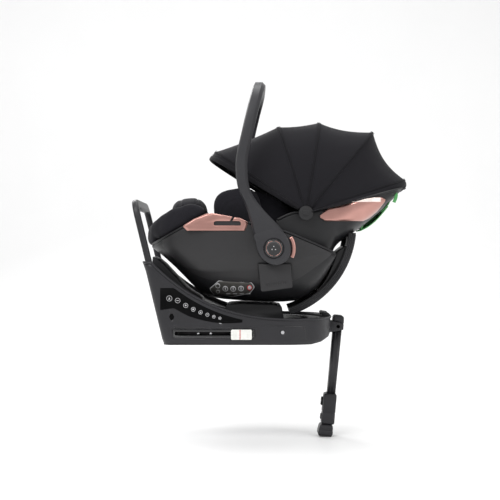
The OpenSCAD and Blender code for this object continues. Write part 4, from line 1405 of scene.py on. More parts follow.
class CARSEAT_OT_leg(bpy.types.Operator):
    """Makes the support leg: head, tubes, collar, button, foot and sole"""

    bl_idname = "carseat.leg"
    bl_label = "Support leg"

    def execute(self, context):
        sizes = context.scene.carseat_base
        tx, ty = sizes.tube_x / MM / 2, sizes.tube_y / MM / 2
        sole = -sizes.leg_length / MM
        foot_top = sole + 32
        collar_top = foot_top + 86
        head = leg_stack(
            "Leg_Head",
            [
                (-9, -15.5, 16, 22.4, 1.5), (-7.5, -15.5, 16, 22.4, 0), (6, -15.5, 16, 22.4, 0),
                (7, -15.5, 16, 22.4, 0.9), (9, -15.5, 16, 22.4, 0.9), (10, -15.5, 16, 22.4, 0),
                (25, -15.0, 15, 22.4, 0), (29, -14, 13, 22.2, 0.8), (31, -13, 11, 21, 3)
            ],
            5
        )
        dressed(head, "leg", "base", ["leg_head"])
        tube = leg_stack("Leg_Tube", [(collar_top - 8, -tx, tx, ty, 0.6), (-9, -tx, tx, ty, 0.0)], 8, 8)
        dressed(tube, "leg", "coated", ["leg_tube"])
        lines = [
            [tuple(on_leg(np.array([x, s * (ty + 0.05), z]))) for z in np.linspace(collar_top + 6, -16, 20)]
            for s in (-1, 1) for x in (-4.2, 4.2)
        ]
        ribbed("Leg_Flutes", lines, 0.0006, "coated", "leg")
        collar = leg_stack(
            "collar",
            [
                (foot_top + 1.2, -20.5, 16, ty + 6, 2.5), (foot_top + 3.2, -20.5, 16, ty + 6, 0.4),
                (foot_top + 6, -20.5, 16, ty + 6, 0), (foot_top + 30, -20.5, 16, ty + 6, 0),
                (foot_top + 31, -20.5, 16, ty + 6, 0.9), (foot_top + 33, -20.5, 16, ty + 6, 0.9),
                (foot_top + 34, -20.5, 16, ty + 6, 0), (collar_top - 10, -20.5, 16, ty + 6, 0.0),
                (collar_top - 3, -20, 15.5, ty + 5.5, 0.2), (collar_top - 0.8, -18.5, 14.5, ty + 4, 0.8),
                (collar_top, -17, 13.5, ty + 3, 1.2)
            ],
            7
        )
        nub = leg_stack(
            "nub",
            [
                (foot_top + 12, -24, -16, 7, 1.0), (foot_top + 13.5, -24, -16, 7, 0),
                (foot_top + 25.5, -24, -16, 7, 0), (foot_top + 27, -24, -16, 7, 1.0)
            ],
            2
        )
        well = leg_stack(
            "cutter", [(collar_top - 36, -30, -14.3, 8, 0), (collar_top - 12, -30, -14.3, 8, 0)], 2
        )
        cut(collar, well)
        dressed(joined("Leg_Collar", [collar, nub]), "leg", "base", ["leg_collar"])
        button = leg_stack(
            "Leg_Button",
            [
                (collar_top - 35.5, -26.5, -17.1, 7.5, 1.6), (collar_top - 34, -26.5, -17.1, 7.5, 0.2),
                (collar_top - 24, -25.7, -17.1, 7.5, 0.2), (collar_top - 14, -26.5, -17.1, 7.5, 0.2),
                (collar_top - 12.5, -26.5, -17.1, 7.5, 1.6)
            ],
            2
        )
        dressed(button, "leg_button", "deck", ["leg_button"])
        lines = [
            [tuple(on_leg(np.array([-26.1, y, collar_top - 31.5 + 3.2 * k]))) for y in (-5.2, 5.2)]
            for k in range(6)
        ]
        ribbed("Leg_Button_Ribs", lines, 0.0005, "deck", "leg_button")
        inner = leg_stack(
            "Leg_Inner_Tube",
            [(foot_top, -tx + 2.5, tx - 2.5, ty - 2.5, 0), (-60, -tx + 2.5, tx - 2.5, ty - 2.5, 0)], 5.5, 8
        )
        dressed(inner, "leg_slide", "alloy", ["leg_inner_tube"])
        foot = leg_stack(
            "Leg_Foot",
            [
                (sole + 4, -27, 14, ty + 11, 0.6), (sole + 5, -27, 14, ty + 11, 0),
                (sole + 14, -26.5, 14, ty + 11, 0), (sole + 15, -26.3, 13.8, ty + 10.8, 0.8),
                (sole + 17, -26.3, 13.8, ty + 10.8, 0.8), (sole + 18, -26, 13.6, ty + 10.6, 0),
                (foot_top - 4, -24, 13, ty + 9, 0.4), (foot_top - 1, -22, 12, ty + 7, 1.2),
                (foot_top - 0.05, -20, 11, ty + 5, 2.0)
            ],
            6
        )
        dressed(foot, "leg_slide", "base", ["leg_foot"])
        pad = leg_stack(
            "Foot_Sole",
            [(sole, -25, 12, ty + 9, 1.2), (sole + 1, -25, 12, ty + 9, 0), (sole + 4, -25, 12, ty + 9, 0)], 5
        )
        dressed(pad, "leg_slide", "rubber", ["foot_sole"])
        lines = [
            [tuple(on_leg(np.array([x, y, sole + 0.3]))) for y in np.linspace(-ty - 5, ty + 5, 8)]
            for x in range(-21, 10, 5)
        ]
        ribbed("Sole_Tread", lines, 0.0006, "rubber", "leg_slide")
        return {"FINISHED"}


# ---------------------------------------------------------------- carrier shells and trim
FAIRING_LOW = [
    [-275, 262], [-250, 233], [-197, 190], [-145, 171], [-80, 161], [0, 158], [70, 166], [140, 210],
    [178, 240]
]
FAIRING_FOLD = [
    [-275, 264], [-262, 240], [-244, 221], [-197, 199], [-160, 193], [-105, 194.5], [-19, 200], [30, 207],
    [70, 215], [120, 234], [178, 245]
]
GUIDE = [[-217, 313], [-189, 331], [-158, 344], [-139, 347], [-66, 334], [-43, 323], [-53, 300], [-205, 300]]
SOCKET = [[-19, 214], [67, 214], [72, 151], [-11, 140]]


def fairing_grid(xs, out, rows=27, tuck=1.0):
    """A skin over the lower form's left side. Below the fold it slopes in to the form."""
    grid = []
    k = np.arange(rows + 1)
    split = rows * 2 // 3
    below = np.clip((k - split) / (rows - split), 0, 1)
    proud = out - (out - tuck) * below**0.6
    for x in xs:
        top, low = float(through(LOWER[1], x) - 4.0), float(through(FAIRING_LOW, x))
        fold = min(top - 1.0, max(low + 0.5, float(through(FAIRING_FOLD, x))))
        z = np.where(
            k <= split, top + (fold - top) * k / split, fold + (low - fold) * (k - split) / (rows - split)
        )
        grid.append(np.stack([np.full(rows + 1, x), bucket_y(LOWER, x, z) + proud, z], 1))
    return np.array(grid)


class CARSEAT_OT_lower_shell(bpy.types.Operator):
    """Makes the carrier's lower shell with its beaded rim and sign plates"""

    bl_idname = "carseat.lower_shell"
    bl_label = "Lower shell"

    def execute(self, context):
        sizes = context.scene.carseat_carrier
        xs = np.concatenate([FOOT_X + np.array([-3.2, -2.4, -1.2, -0.4]), np.linspace(FOOT_X, TAIL_X, 90)])
        grid = []
        for x in xs:
            q = max(x, FOOT_X)
            half, rim_height, keel = (float(through(line, q)) for line in LOWER)
            ring = even(bucket_ring(q, half, rim_height, keel, 160), 61)
            ring[:, 0] = x
            if x < FOOT_X:
                pull = 1 - math.sqrt(max(0, 1 - ((FOOT_X - x) / 3.4) ** 2))
                ring[:, 1] *= 1 - 0.16 * pull
                ring[:, 2] = ring[:, 2] * (1 - 0.5 * pull) + (rim_height - 3) * 0.5 * pull
            grid.append(ring)
        shell = sheet("Lower_Bucket", grid, inside=(-40, 0, 250))
        walled(shell, sizes.wall / MM)
        bead = sizes.rim_bead / MM
        line = rim_line(LOWER, np.linspace(TAIL_X - 2, FOOT_X + 1, 90), -1)
        tip = np.array([[FOOT_X - 3, y, 267.0] for y in np.linspace(-58, 58, 22)])
        path = even(np.vstack([line, tip, (line * np.array([1, -1, 1]))[::-1]]), 260)
        rim = sweep("rim", path, circle_of(bead, 12), side=(0, 0, 1))
        second = path.copy()
        second[:, 2] -= 8.5
        second[:, 1] *= 1.002
        groove = sweep("groove", second, circle_of(1.3, 8), side=(0, 0, 1))
        shell = joined("Lower_Bucket", [shell, rim, groove])
        dressed(shell, "carrier", "shell", ["lower_shell"])

        # sign plates that follow the shell under the fairing
        for s, tag in ((-1, "Right"), (1, "Left")):
            outline = filleted(
                [
                    (-150, 145), (-124, 168.5), (-35, 163.5), (-27, 150.5), (-40, 133), (-87, 122.5),
                    (-139, 130)
                ],
                6, 4
            )
            border = sign_patch("Plate_Border_" + tag, outline, s, 1.0)
            dressed(border, "carrier", "print")
            face = sign_patch("Plate_" + tag, outline, s, 1.5, 2.4)
            dressed(face, "carrier", "plate")
            signs, faces = [], []
            for cx, cz, r in (
                (-126, 154, 6.5), (-126, 138, 5.2), (-106, 146, 7.5), (-85, 146, 7.5), (-64, 147, 7.5)
            ):
                signs.append(sign_patch("ring", ring_points(cx, cz, r, 24), s, 1.9))
                faces.append(sign_patch("face", ring_points(cx, cz, r * 0.72, 20), s, 2.3))
            for cx, cz in ((-106, 146), (-85, 146), (-64, 147)):
                signs.append(sign_patch("bar", rect(cx - 1.2, cx + 1.2, cz - 4, cz + 4), s, 2.5))
            for k in range(4):
                signs.append(sign_patch("line", rect(-104 + 18 * k, -93 + 18 * k, 131.5, 132.8), s, 1.9))
            dressed(joined("Plate_Signs_" + tag, signs), "carrier", "print")
            dressed(joined("Plate_Sign_Faces_" + tag, faces), "carrier", "plate")
            stop = joined("Plate_Ring_" + tag, [sign_patch("ring", ring_points(-41, 149.5, 6.6, 26), s, 1.9)])
            dressed(stop, "carrier", "red")
            inner = joined(
                "Plate_Ring_Face_" + tag, [sign_patch("face", ring_points(-41, 149.5, 4.9, 22), s, 2.3)]
            )
            dressed(inner, "carrier", "print")
        return {"FINISHED"}


def sign_patch(name, outline, s, out, shrink=0.0):
    """A thin patch with an outline in x and z, laid on the lower shell's side."""
    o = np.asarray(outline, float)
    if shrink:
        c = o.mean(0)
        o = c + (o - c) * (1 - shrink / np.linalg.norm(o - c, axis=1, keepdims=True))
    c = o.mean(0)
    rings, n = 6, len(o)
    flat = np.vstack([c, *[c + (o - c) * k / rings for k in range(1, rings + 1)]])
    x, z = flat[:, 0], flat[:, 1]
    pts = np.stack([x, s * (bucket_y(LOWER, x, z + out * 0.7) + out), z], 1)
    faces = [(0, 1 + j, 1 + (j + 1) % n) for j in range(n)]
    for k in range(rings - 1):
        for j in range(n):
            a, b = 1 + k * n + j, 1 + k * n + (j + 1) % n
            faces.append((a, a + n, b + n, b))
    piece = put(name, pts, faces)
    away = sum(p.normal.y * s * p.area for p in piece.data.polygons)
    if away < 0:
        piece.data.flip_normals()
    return walled(piece, out + 0.6)


def grown_outline(points, by):
    """A closed outline with each corner pushed out from its middle."""
    o = np.asarray(points, float)
    way = o - o.mean(0)
    return o + way / np.linalg.norm(way, axis=1, keepdims=True) * by


class CARSEAT_OT_fairings(bpy.types.Operator):
    """Makes the side fairings, belt guides, adapter sockets and hub trims"""

    bl_idname = "carseat.fairings"
    bl_label = "Side fairings and trim"

    def execute(self, context):
        sizes = context.scene.carseat_carrier
        thick = sizes.fairing / MM
        xs = np.linspace(-274, 176, 100)
        skin = sheet("Side_Fairing_left", fairing_grid(xs, 2.6 + thick), inside=(-40, 0, 250))
        walled(skin, thick)
        holes = [
            (filleted(grown_outline(GUIDE, 1.2), 3, 3), 196),
            (filleted(grown_outline(SOCKET, 1.2), 3, 3), 170), (ring_points(*PIVOT, 41.2, 64), 170)
        ]
        cut(skin, *[plate("hole", outline, y0, 230) for outline, y0 in holes])
        for piece, tag in ((twin(skin, "Side_Fairing_right"), "right"), (skin, "left")):
            rounded(piece, 1.1, 3, 32)
            dressed(piece, "carrier", "fairing", ["side_fairing_" + tag])

        for s, tag in ((-1, "right"), (1, "left")):
            # belt guide: a faceted plate with a long slot and an angled way in
            outline = filleted(GUIDE, [4, 8, 10, 9, 8, 8, 3, 3], 5)
            middle = np.array([-128.0, 321.0])
            rings = []
            for inset, y in ((0, 192.6), (0, 195.6), (0.5, 196.2), (5.6, 198.9), (7.0, 199.2)):
                way = middle - outline
                way = outline + way / np.linalg.norm(way, axis=1, keepdims=True) * inset * np.array(
                    [1.0, 0.82]
                )
                rings.append([(x, s * y, z) for x, z in way])
            guide = body_of_rings("Belt_Guide_" + tag, rings)
            slot = slab("slot", filleted(rect(-135, -64, 312, 326), 6.9, 6), s, 180, 210)
            way = slab("way", [(-97, 318), (-90.5, 318), (-72, 352), (-78.5, 352)], s, 180, 210)
            cut(guide, slot, way)
            rounded(guide, 0.45, 2, 42)
            dressed(guide, "carrier", "rose", ["belt_guide_" + tag])
            lip = filleted(rect(-134, -65, 311, 314.4), 1.6, 3)
            shelf = slab("Guide_Lip_" + tag, lip, s, 195.0, 200.1, edge=1.2, steps=3)
            dressed(shelf, "carrier", "rose")
            # a near-black, barely shining sheet at the back of the slot: painted shade that makes the slot look
            # deep
            slotline = filleted(rect(-132, -67, 313.8, 324.2), 5.2, 6)
            back = slab("Guide_Slot_Painted_Shade_" + tag, slotline, s, 191.9, 192.5)
            dressed(back, "carrier", "band")

            # adapter socket: a block with a pocket that is open below
            block = slab(
                "Adapter_Socket_" + tag, filleted(SOCKET, [2, 6, 6, 6], 5), s, 176, 199.4, edge=2.0, steps=3
            )
            pocket = slab("cutter", rect(-4, 56, 100, 200), s, 184, 196.4)
            cut(block, pocket)
            rounded(block, 0.6, 2, 50)
            dressed(block, "carrier", "socket", ["adapter_socket_" + tag])
            lines = [
                [(x, s * 199.5, 153 + (x + 11) * 0.13), (x, s * 199.5, 160 + (x + 11) * 0.13)]
                for x in range(2, 62, 6)
            ]
            ribbed("Socket_Ribs_" + tag, lines, 0.0008, "socket", "carrier")

        # rose trim: part of a ring behind each hub
        parts = []
        for s in (-1, 1):
            angles = np.radians(np.linspace(-26, 33, 30))
            section = filleted([(48, 0), (58, 0), (58, 3.2), (55.5, 4.6), (50, 4.6), (48, 3.2)], 0.7, 2)
            grid = [
                [
                    (PIVOT[0] + r * math.cos(a), s * (195.0 + d), PIVOT[1] + r * math.sin(a)) for r,
                    d in section
                ]
                for a in angles
            ]
            parts.append(body_of_rings("t", grid))
        dressed(joined("Hub_Trims", parts), "carrier", "rose", ["hub_trims"])
        parts = []
        for s in (-1, 1):
            for r, y0, y1 in ((40, 186, 201.4), (7.4, 201, 210.6)):
                parts.append(slab("hub", ring_points(*PIVOT, r, 72), s, y0, y1, edge=0.8, steps=2))
        dressed(joined("Pivot_Hubs", parts), "carrier", "shell", ["pivot_hubs"])
        return {"FINISHED"}


# ---------------------------------------------------------------- carry handle
HANDLE_LEAN = [
    [0, 0], [48, -18], [100, -48], [126, -63], [152, -76], [178, -82], [204, -84], [230, -84], [256, -80],
    [282, -74], [335, -62], [390, -49], [443, -35]
]
HANDLE_SQUARE = 5.0
HANDLE_IN, HANDLE_OUT = 202.0, 221.0


HUB_OUTLINE = [
    (-28.5, 290), (-25.5, 271), (-21.8, 255), (-12, 232), (5, 217.5), (24, 211), (44, 214.5), (60, 228),
    (66, 250), (60, 276), (45, 296), (10, 304)
]


def hub_reach(steps):
    """Distance from the handle's pivot to the hub's outline at even angles."""
    line = smooth_line(HUB_OUTLINE, 400, closed=True) - np.array(PIVOT)
    angle = np.arctan2(line[:, 1], line[:, 0])
    order = np.argsort(angle)
    at = (np.arange(steps) * 2 * math.pi / steps + math.pi) % (2 * math.pi) - math.pi
    return np.interp(at, angle[order], np.linalg.norm(line[order], axis=1), period=2 * math.pi)


def turned(name, profile, centre, side, steps, ring=False, reach=None, rim=45.0):
    """A piece turned about a cross axis from (radius, distance out) points. A radius of 0 closes on the axis.
    reach stretches the radii near rim to an outline that isn't round."""
    verts, faces, rows = [], [], []
    swell = np.ones(steps) if reach is None else np.asarray(reach) / rim
    for r, y in profile:
        if r == 0:
            verts.append((centre[0], side * y, centre[1]))
            rows.append([len(verts) - 1] * steps)
            continue
        rows.append(list(range(len(verts), len(verts) + steps)))
        outer = float(ease((r - 32) / 6))
        for k in range(steps):
            a, q = k * 2 * math.pi / steps, r * (1 + (swell[k] - 1) * outer)
            verts.append((centre[0] + q * math.cos(a), side * y, centre[1] + q * math.sin(a)))
    pairs = list(zip(rows[:-1], rows[1:])) + ([(rows[-1], rows[0])] if ring else [])
    for low, high in pairs:
        for k in range(steps):
            j = (k + 1) % steps
            face = []
            for v in (low[k], low[j], high[j], high[k]):
                if v not in face:
                    face.append(v)
            faces.append(face)
    return clean(put(name, verts, faces), dist=0.001)


class CARSEAT_OT_handle(bpy.types.Operator):
    """Makes the carry handle's faceted arch, its hubs and its release buttons"""

    bl_idname = "carseat.handle"
    bl_label = "Carry handle"

    def execute(self, context):
        sizes = context.scene.carseat_handle
        rise, thick, wide = sizes.rise / MM, sizes.thickness / MM, sizes.arm_width / MM
        mid = (HANDLE_IN + HANDLE_OUT) / 2
        hub = 45.0
        n = HANDLE_SQUARE
        rings = []
        raw = np.linspace(0, math.pi, 1201)
        r = (np.abs(np.cos(raw)) ** n + np.abs(np.sin(raw)) ** n) ** (-1 / n)
        line = np.stack([-mid * r * np.cos(raw), rise * r * np.sin(raw)], 1)
        along = np.concatenate([[0], np.cumsum(np.linalg.norm(np.diff(line, axis=0), axis=1))])
        for s in np.linspace(0, along[-1], 170):
            y = float(np.interp(s, along, line[:, 0]))
            h = float(np.interp(s, along, line[:, 1]))
            if h < 28:
                continue
            cy, ch = abs(y) / mid, max(h, 0) / rise
            ny, nz = math.copysign(cy ** (n - 1), y) / mid, ch ** (n - 1) / rise
            length = math.hypot(ny, nz)
            ny, nz = ny / length, nz / length
            xc = PIVOT[0] + float(through(HANDLE_LEAN, h * 443 / rise))
            flare = ease((150 - h) / 122) ** 1.35
            w = wide + (82 - wide) * flare
            xc += 2.0 * flare
            w, t = w / 2, thick / 2 - 0.3
            chamfer = min(w * 0.34, 7)
            shape = [
                (-w, -t), (-w, t * 0.15), (-w + chamfer * 0.75, t), (w - chamfer * 1.5, t), (w, t * 0.05),
                (w, -t)
            ]
            q = filleted(shape, [3.5, 1.6, 1.1, 1.1, 1.6, 3.5], 3)
            rings.append([(xc + u, y + v * ny, PIVOT[1] + h + v * nz) for u, v in q])
        arch = body_of_rings("arch", rings)
        parts = [arch]
        seat = sizes.button_radius / MM + 0.6
        profile = [
            (8, HANDLE_IN), (hub - 2, HANDLE_IN), (hub, HANDLE_IN + 2), (hub, HANDLE_OUT - 2.4),
            (hub - 0.7, HANDLE_OUT - 0.7), (hub - 2.4, HANDLE_OUT), (seat + 3.2, HANDLE_OUT),
            (seat + 2.2, HANDLE_OUT - 1.0), (seat + 1.6, HANDLE_OUT - 3.0), (seat, HANDLE_OUT - 3.4),
            (seat, HANDLE_OUT - 11), (8, HANDLE_OUT - 11)
        ]
        for s in (-1, 1):
            parts.append(turned("hub", profile, PIVOT, s, 96, ring=True, reach=hub_reach(96)))
        handle = joined("Carry_Handle", parts)
        dressed(handle, "handle", "handle", ["carry_handle"])
        handle.data.set_sharp_from_angle(angle=math.radians(26))

        for s, tag in ((-1, "right"), (1, "left")):
            body = "handle_button_" + tag
            radius = sizes.button_radius / MM
            y0 = 214.6
            profile = [
                (0, y0), (radius, y0), (radius, y0 + 6.0), (radius - 0.6, y0 + 7.1),
                (radius - 1.8, y0 + 7.6), (radius - 5.5, y0 + 7.2), (radius - 6.6, y0 + 6.6),
                (radius - 9, y0 + 6.2), (0, y0 + 6.8)
            ]
            cap = turned("Handle_Button_" + tag, profile, PIVOT, s, 96)
            dressed(cap, body, "gloss", ["handle_button_" + tag])
            arcs = []
            for a0, a1 in ((100, 262), (-80, 82)):
                section = circle_of(0.9, 8) * np.array([1.25, 0.7])
                path = [
                    (PIVOT[0] + 19.6 * math.cos(a), s * 222.1, PIVOT[1] + 19.6 * math.sin(a))
                    for a in np.radians(np.linspace(a0, a1, 40))
                ]
                arcs.append(sweep("arc", path, section, side=(0, 1, 0)))
            dressed(joined("Button_Arcs_" + tag, arcs), body, "rose")
            dot = []
            for k in range(3):
                a = math.radians(90 + 120 * k)
                dot.append(
                    slab(
                        "dot",
                        np.array([PIVOT[0] + 5.2 * math.cos(a), PIVOT[1] + 5.2 * math.sin(a)])
                        + circle_of(1.5, 16),
                        s, 221.0, 221.9, edge=0.3, steps=1
                    )
                )
            dressed(joined("Button_Dots_" + tag, dot), body, "print")
        return {"FINISHED"}


# ---------------------------------------------------------------- reclining back
RECLINE = (-8.0, 318.0)
PANEL_TOP = [[146, 342], [160, 355], [184, 370], [224, 380], [277, 389], [305, 392], [320, 384]]
PANEL_LOW = [[146, 336], [160, 327], [262, 327], [280, 335], [300, 352], [320, 380]]


class CARSEAT_OT_back(bpy.types.Operator):
    """Makes the reclining back shell, its rose panels, ribbed band and green pull"""

    bl_idname = "carseat.back"
    bl_label = "Back shell"

    def execute(self, context):
        sizes = context.scene.carseat_carrier
        xs = np.linspace(30, 374, 80)
        shell = sheet("Back_Bucket", even_bucket(BACK, xs, 0.8, 60), inside=(150, 0, 380))
        walled(shell, sizes.wall / MM)
        head = np.array([[374, y, 417.5] for y in np.linspace(-86, 86, 20)])
        path = even(
            np.vstack(
                [
                    rim_line(BACK, np.linspace(32, 372, 90), -1), head,
                    rim_line(BACK, np.linspace(372, 32, 90), 1)
                ]
            ),
            240
        )
        bead = sweep("bead", path, circle_of(3.0, 12), side=(0, 0, 1))
        low_edge = [(374, y, z) for _, y, z in even(bucket_ring(374, 90, 418, 412, 60), 40)]
        tail = sweep("tail", np.array(low_edge), circle_of(2.6, 10), side=(1, 0, 0))
        dressed(joined("Back_Bucket", [shell, bead, tail]), "back", "shell", ["back_shell"])

        def top(x):
            return min(float(through(PANEL_TOP, x)), float(through(BACK[1], x)) - 1)

        rows = 24
        for s, tag in ((-1, "right"), (1, "left")):
            grid = []
            for x in np.linspace(147, 319, 70):
                z = np.linspace(top(x), float(np.interp(x, *np.transpose(PANEL_LOW))), rows + 1)
                t = np.linspace(0, 1, rows + 1)
                # a flat face, and a facet that leans in above it
                crown = 1.0 + 3.6 * np.minimum(1, np.minimum(t, 1 - t) * 10) - 0.22 * np.maximum(0, z - 377)
                grid.append(np.stack([np.full(rows + 1, x), s * (bucket_y(BACK, x, z) + crown), z], 1))
            panel = sheet("Back_Panel_" + tag, grid, inside=(150, 0, 380))
            walled(panel, 2.2)
            rounded(panel, 0.6, 2, 40)
            dressed(panel, "back", "rose", ["back_panel_" + tag])
            # a pale strip along the upper facet of each rose panel: a painted highlight in place of that facet's
            # shine
            grid = []
            for x in np.linspace(206, 307, 34):
                z = np.linspace(max(min(top(x), 391) - 1.8, 377.8), 377.2, 5)
                grid.append(
                    np.stack([np.full(5, x), s * (bucket_y(BACK, x, z) + 5.2 - 0.22 * (z - 377)), z], 1)
                )
            band = sheet("Back_Panel_Painted_Highlight_" + tag, grid, inside=(150, 0, 380))
            walled(band, 1.2)
            dressed(band, "back", "pearl")

        # ribbed band under the back: a core, cheeks and ribs round the recline axis
        def arc(r, a):
            return (RECLINE[0] + r * math.cos(a), RECLINE[1] + r * math.sin(a))

        angles = np.radians(np.linspace(-72, -5, 90))
        outer = [arc(255, a) for a in angles]
        inner = [arc(246, a) for a in angles[::-1]]
        core = plate("core", np.array(outer + inner), -110, 110, edge=0.8, steps=2)
        cheeks = [
            plate(
                "cheek", np.array([arc(254.4, a) for a in angles] + [arc(235, a) for a in angles[::-1]]), y0,
                y1, edge=1.0
            ) for y0,
            y1 in ((-109.6, -101), (101, 109.6))
        ]
        band = joined("Recline_Band", [core, *cheeks])
        dressed(band, "back", "shell", ["recline_band"])
        # a lining inside the band that fills its gap to the lower shell's tail
        inner = [
            (-50, 232.5), (-43, 229.5), (-37, 225.5), (-29, 220.8), (-24.7, 218.8), (-21.4, 216), (-18, 222),
            (-14, 234)
        ]
        line = [arc(r, math.radians(a)) for a, r in inner] + [
            arc(237, math.radians(a)) for a in np.linspace(-14, -50, 30)
        ]
        filler = plate("Recline_Lining", np.array(line), -98, 98, edge=0.8)
        dressed(filler, "back", "shell")
        sweep_angles = np.radians(np.linspace(-71, -6, 60))
        lines = [
            [(arc(255.2, a)[0], y, arc(255.2, a)[1]) for a in sweep_angles] for y in np.linspace(-98, 98, 11)
        ]
        ribbed("Recline_Ribs", lines, 0.0014, "socket", "back", sides=8)
        lines = []
        for s in (-1, 1):
            for r in (238.5, 243.0, 247.5, 252.0):
                lines.append([(arc(r, a)[0], s * 109.8, arc(r, a)[1]) for a in sweep_angles])
        ribbed("Recline_Side_Ribs", lines, 0.0011, "handle", "back", sides=8)

        # green pull: a folded strap under the head end, and a tab at the rim
        x = np.linspace(262, 338, 40)
        keel = through(BACK[2], x)
        hang = 5 + 8 * np.sin(np.pi * (x - 262) / 76)
        path = np.stack([x, np.zeros(40), keel - hang], 1)
        strap = ribbon("Release_Pull", path, 124, 3.0)
        dressed(strap, "back", "green", ["release_handle"])
        for s, tag in ((-1, "Right"), (1, "Left")):
            grip = np.array(
                [
                    (265, s * 125, 312), (285, s * 133, 322), (305, s * 136, 341), (322, s * 137, 361),
                    (334, s * 132, 377)
                ],
                float
            )
            path = smooth_line(grip, 40)
            for k in range(len(path)):
                path[k, 1] = s * (float(bucket_y(BACK, path[k, 0], path[k, 2])) + 4.0)
            edge = ribbon("Pull_Edge_" + tag, path, 11, 3.2, across=(0.5, 0, 1))
            dressed(edge, "back", "green")
            tab = ribbon(
                "Pull_Tab_" + tag,
                np.array(
                    [(346, s * 128, 378), (350, s * 131, 388), (352, s * 132, 397), (350, s * 129, 404)],
                    float
                ),
                9, 2.6, across=(1, 0, 0)
            )
            dressed(tab, "back", "green")
        return {"FINISHED"}


def ribbon(name, path, width, thick, across=(0, 1, 0)):
    """A flat strap with rounded edges along a path, its flat coordinates in metres."""
    p = even(path, max(12, len(path)))
    section = filleted(round_box(width, thick, thick * 0.48, 3), 0.05, 1)
    a, b = frames_along(p, across)
    g = p[:, None, :] + a[:, None, :] * section[None, :, 0:1] + b[:, None, :] * section[None, :, 1:2]
    along = np.concatenate([[0], np.cumsum(np.linalg.norm(np.diff(p, axis=0), axis=1))])
    uv = np.array([[(s, q[0]) for q in section] for s in along])
    return clean(put(name, g.reshape(-1, 3), tube_faces(len(p), len(section)), uv.reshape(-1, 2)))


# ---------------------------------------------------------------- soft goods
def pillow(name, size, centre, tilt, crown, square=0.55):
    """A padded form: crowned faces meeting at a seam line all round, its sides drawn in between the corners."""
    sx, sy, sz = (v / 2 for v in size)
    n = 44
    u = np.linspace(-1, 1, n)
    verts, faces = [], []
    index = {}

    def at(a, b, up):
        # squircle mapping, with the middle of each side drawn in
        x = a * math.sqrt(max(0, 1 - square * b * b / 2))
        y = b * math.sqrt(max(0, 1 - square * a * a / 2))
        x *= 1 - 0.035 * (1 - b * b) * (abs(a) ** 6)
        y *= 1 - 0.035 * (1 - a * a) * (abs(b) ** 6)
        h = ((1 - a**4) * (1 - b**4)) ** 0.42 * (crown + (1 - crown) * (1 - a * a) * (1 - b * b))
        return (sx * x, sy * y, up * sz * h)

    for up in (1, -1):
        for i, a in enumerate(u):
            for j, b in enumerate(u):
                edge = i in (0, n - 1) or j in (0, n - 1)
                key = (i, j, 0 if edge else up)
                if key not in index:
                    index[key] = len(verts)
                    verts.append(at(a, b, up))
    for up in (1, -1):
        for i in range(n - 1):
            for j in range(n - 1):
                q = []
                for di, dj in ((0, 0), (1, 0), (1, 1), (0, 1)):
                    ii, jj = i + di, j + dj
                    edge = ii in (0, n - 1) or jj in (0, n - 1)
                    q.append(index[(ii, jj, 0 if edge else up)])
                faces.append(q if up > 0 else q[::-1])
    v = np.array(verts)
    c, s = math.cos(tilt), math.sin(tilt)
    turn = np.array([[c, 0, s], [0, 1, 0], [-s, 0, c]])
    return put(name, v @ turn.T + np.asarray(centre, float), faces)


def puffed(piece, cap, pressure=4.0, voxel=5.0):
    """Blows a padded piece up a little as cloth, so that it creases as a stuffed cover does."""
    remesh = piece.modifiers.new("remesh", "REMESH")
    remesh.mode = "VOXEL"
    remesh.voxel_size = voxel * MM
    settled(piece)
    rest = np.array([v.co for v in piece.data.vertices])
    cloth = piece.modifiers.new("cloth", "CLOTH")
    cloth.settings.use_pressure = True
    cloth.settings.uniform_pressure_force = pressure
    cloth.settings.effector_weights.gravity = 0.0
    cloth.settings.tension_stiffness = 12
    cloth.settings.compression_stiffness = 12
    cloth.settings.shear_stiffness = 4
    cloth.settings.bending_stiffness = 0.3
    scene = bpy.context.scene
    for frame_number in range(1, 21):
        scene.frame_set(frame_number)
    dg = bpy.context.evaluated_depsgraph_get()
    mesh = bpy.data.meshes.new_from_object(piece.evaluated_get(dg), depsgraph=dg)
    moved = np.array([v.co for v in mesh.vertices])
    piece.modifiers.clear()
    scene.frame_set(1)
    step = moved - rest
    far = np.linalg.norm(step, axis=1, keepdims=True)
    limit = cap * MM
    step *= np.tanh(far / limit) * limit / np.maximum(far, 1e-9)
    piece.data.vertices.foreach_set("co", (rest + step).astype(np.float32).ravel())
    piece.data.update()
    bpy.data.meshes.remove(mesh)
    piece.data.polygons.foreach_set("use_smooth", [True] * len(piece.data.polygons))
    soften = piece.modifiers.new("soften", "SMOOTH")
    soften.iterations = 2
    soften.factor = 0.5
    settled(piece)
    return subdivided(piece, 1)


def subdivided(piece, levels):
    """The piece with its faces divided and smoothed."""
    m = piece.modifiers.new("finer", "SUBSURF")
    m.levels = levels
    m.render_levels = levels
    settled(piece)
    piece.data.polygons.foreach_set("use_smooth", [True] * len(piece.data.polygons))
    return piece


def channelled(piece, lines, depth, width):
    """Presses sewn channels into a padded piece. Each line is a polyline in millimetres."""
    co = np.array([v.co for v in piece.data.vertices]) / MM
    normals = np.array([v.normal for v in piece.data.vertices])
    push = np.zeros(len(co))
    for line in lines:
        p = even(line, 60)
        d = np.full(len(co), 1e9)
        for a, b in zip(p[:-1], p[1:]):
            ab = b - a
            t = np.clip(((co - a) @ ab) / max(ab @ ab, 1e-9), 0, 1)
            d = np.minimum(d, np.linalg.norm(co - (a + t[:, None] * ab), axis=1))
        push = np.maximum(push, depth * np.exp(-((d / width) ** 2)))
    co -= normals * push[:, None]
    piece.data.vertices.foreach_set("co", (co * MM).astype(np.float32).ravel())
    piece.data.update()
    return piece


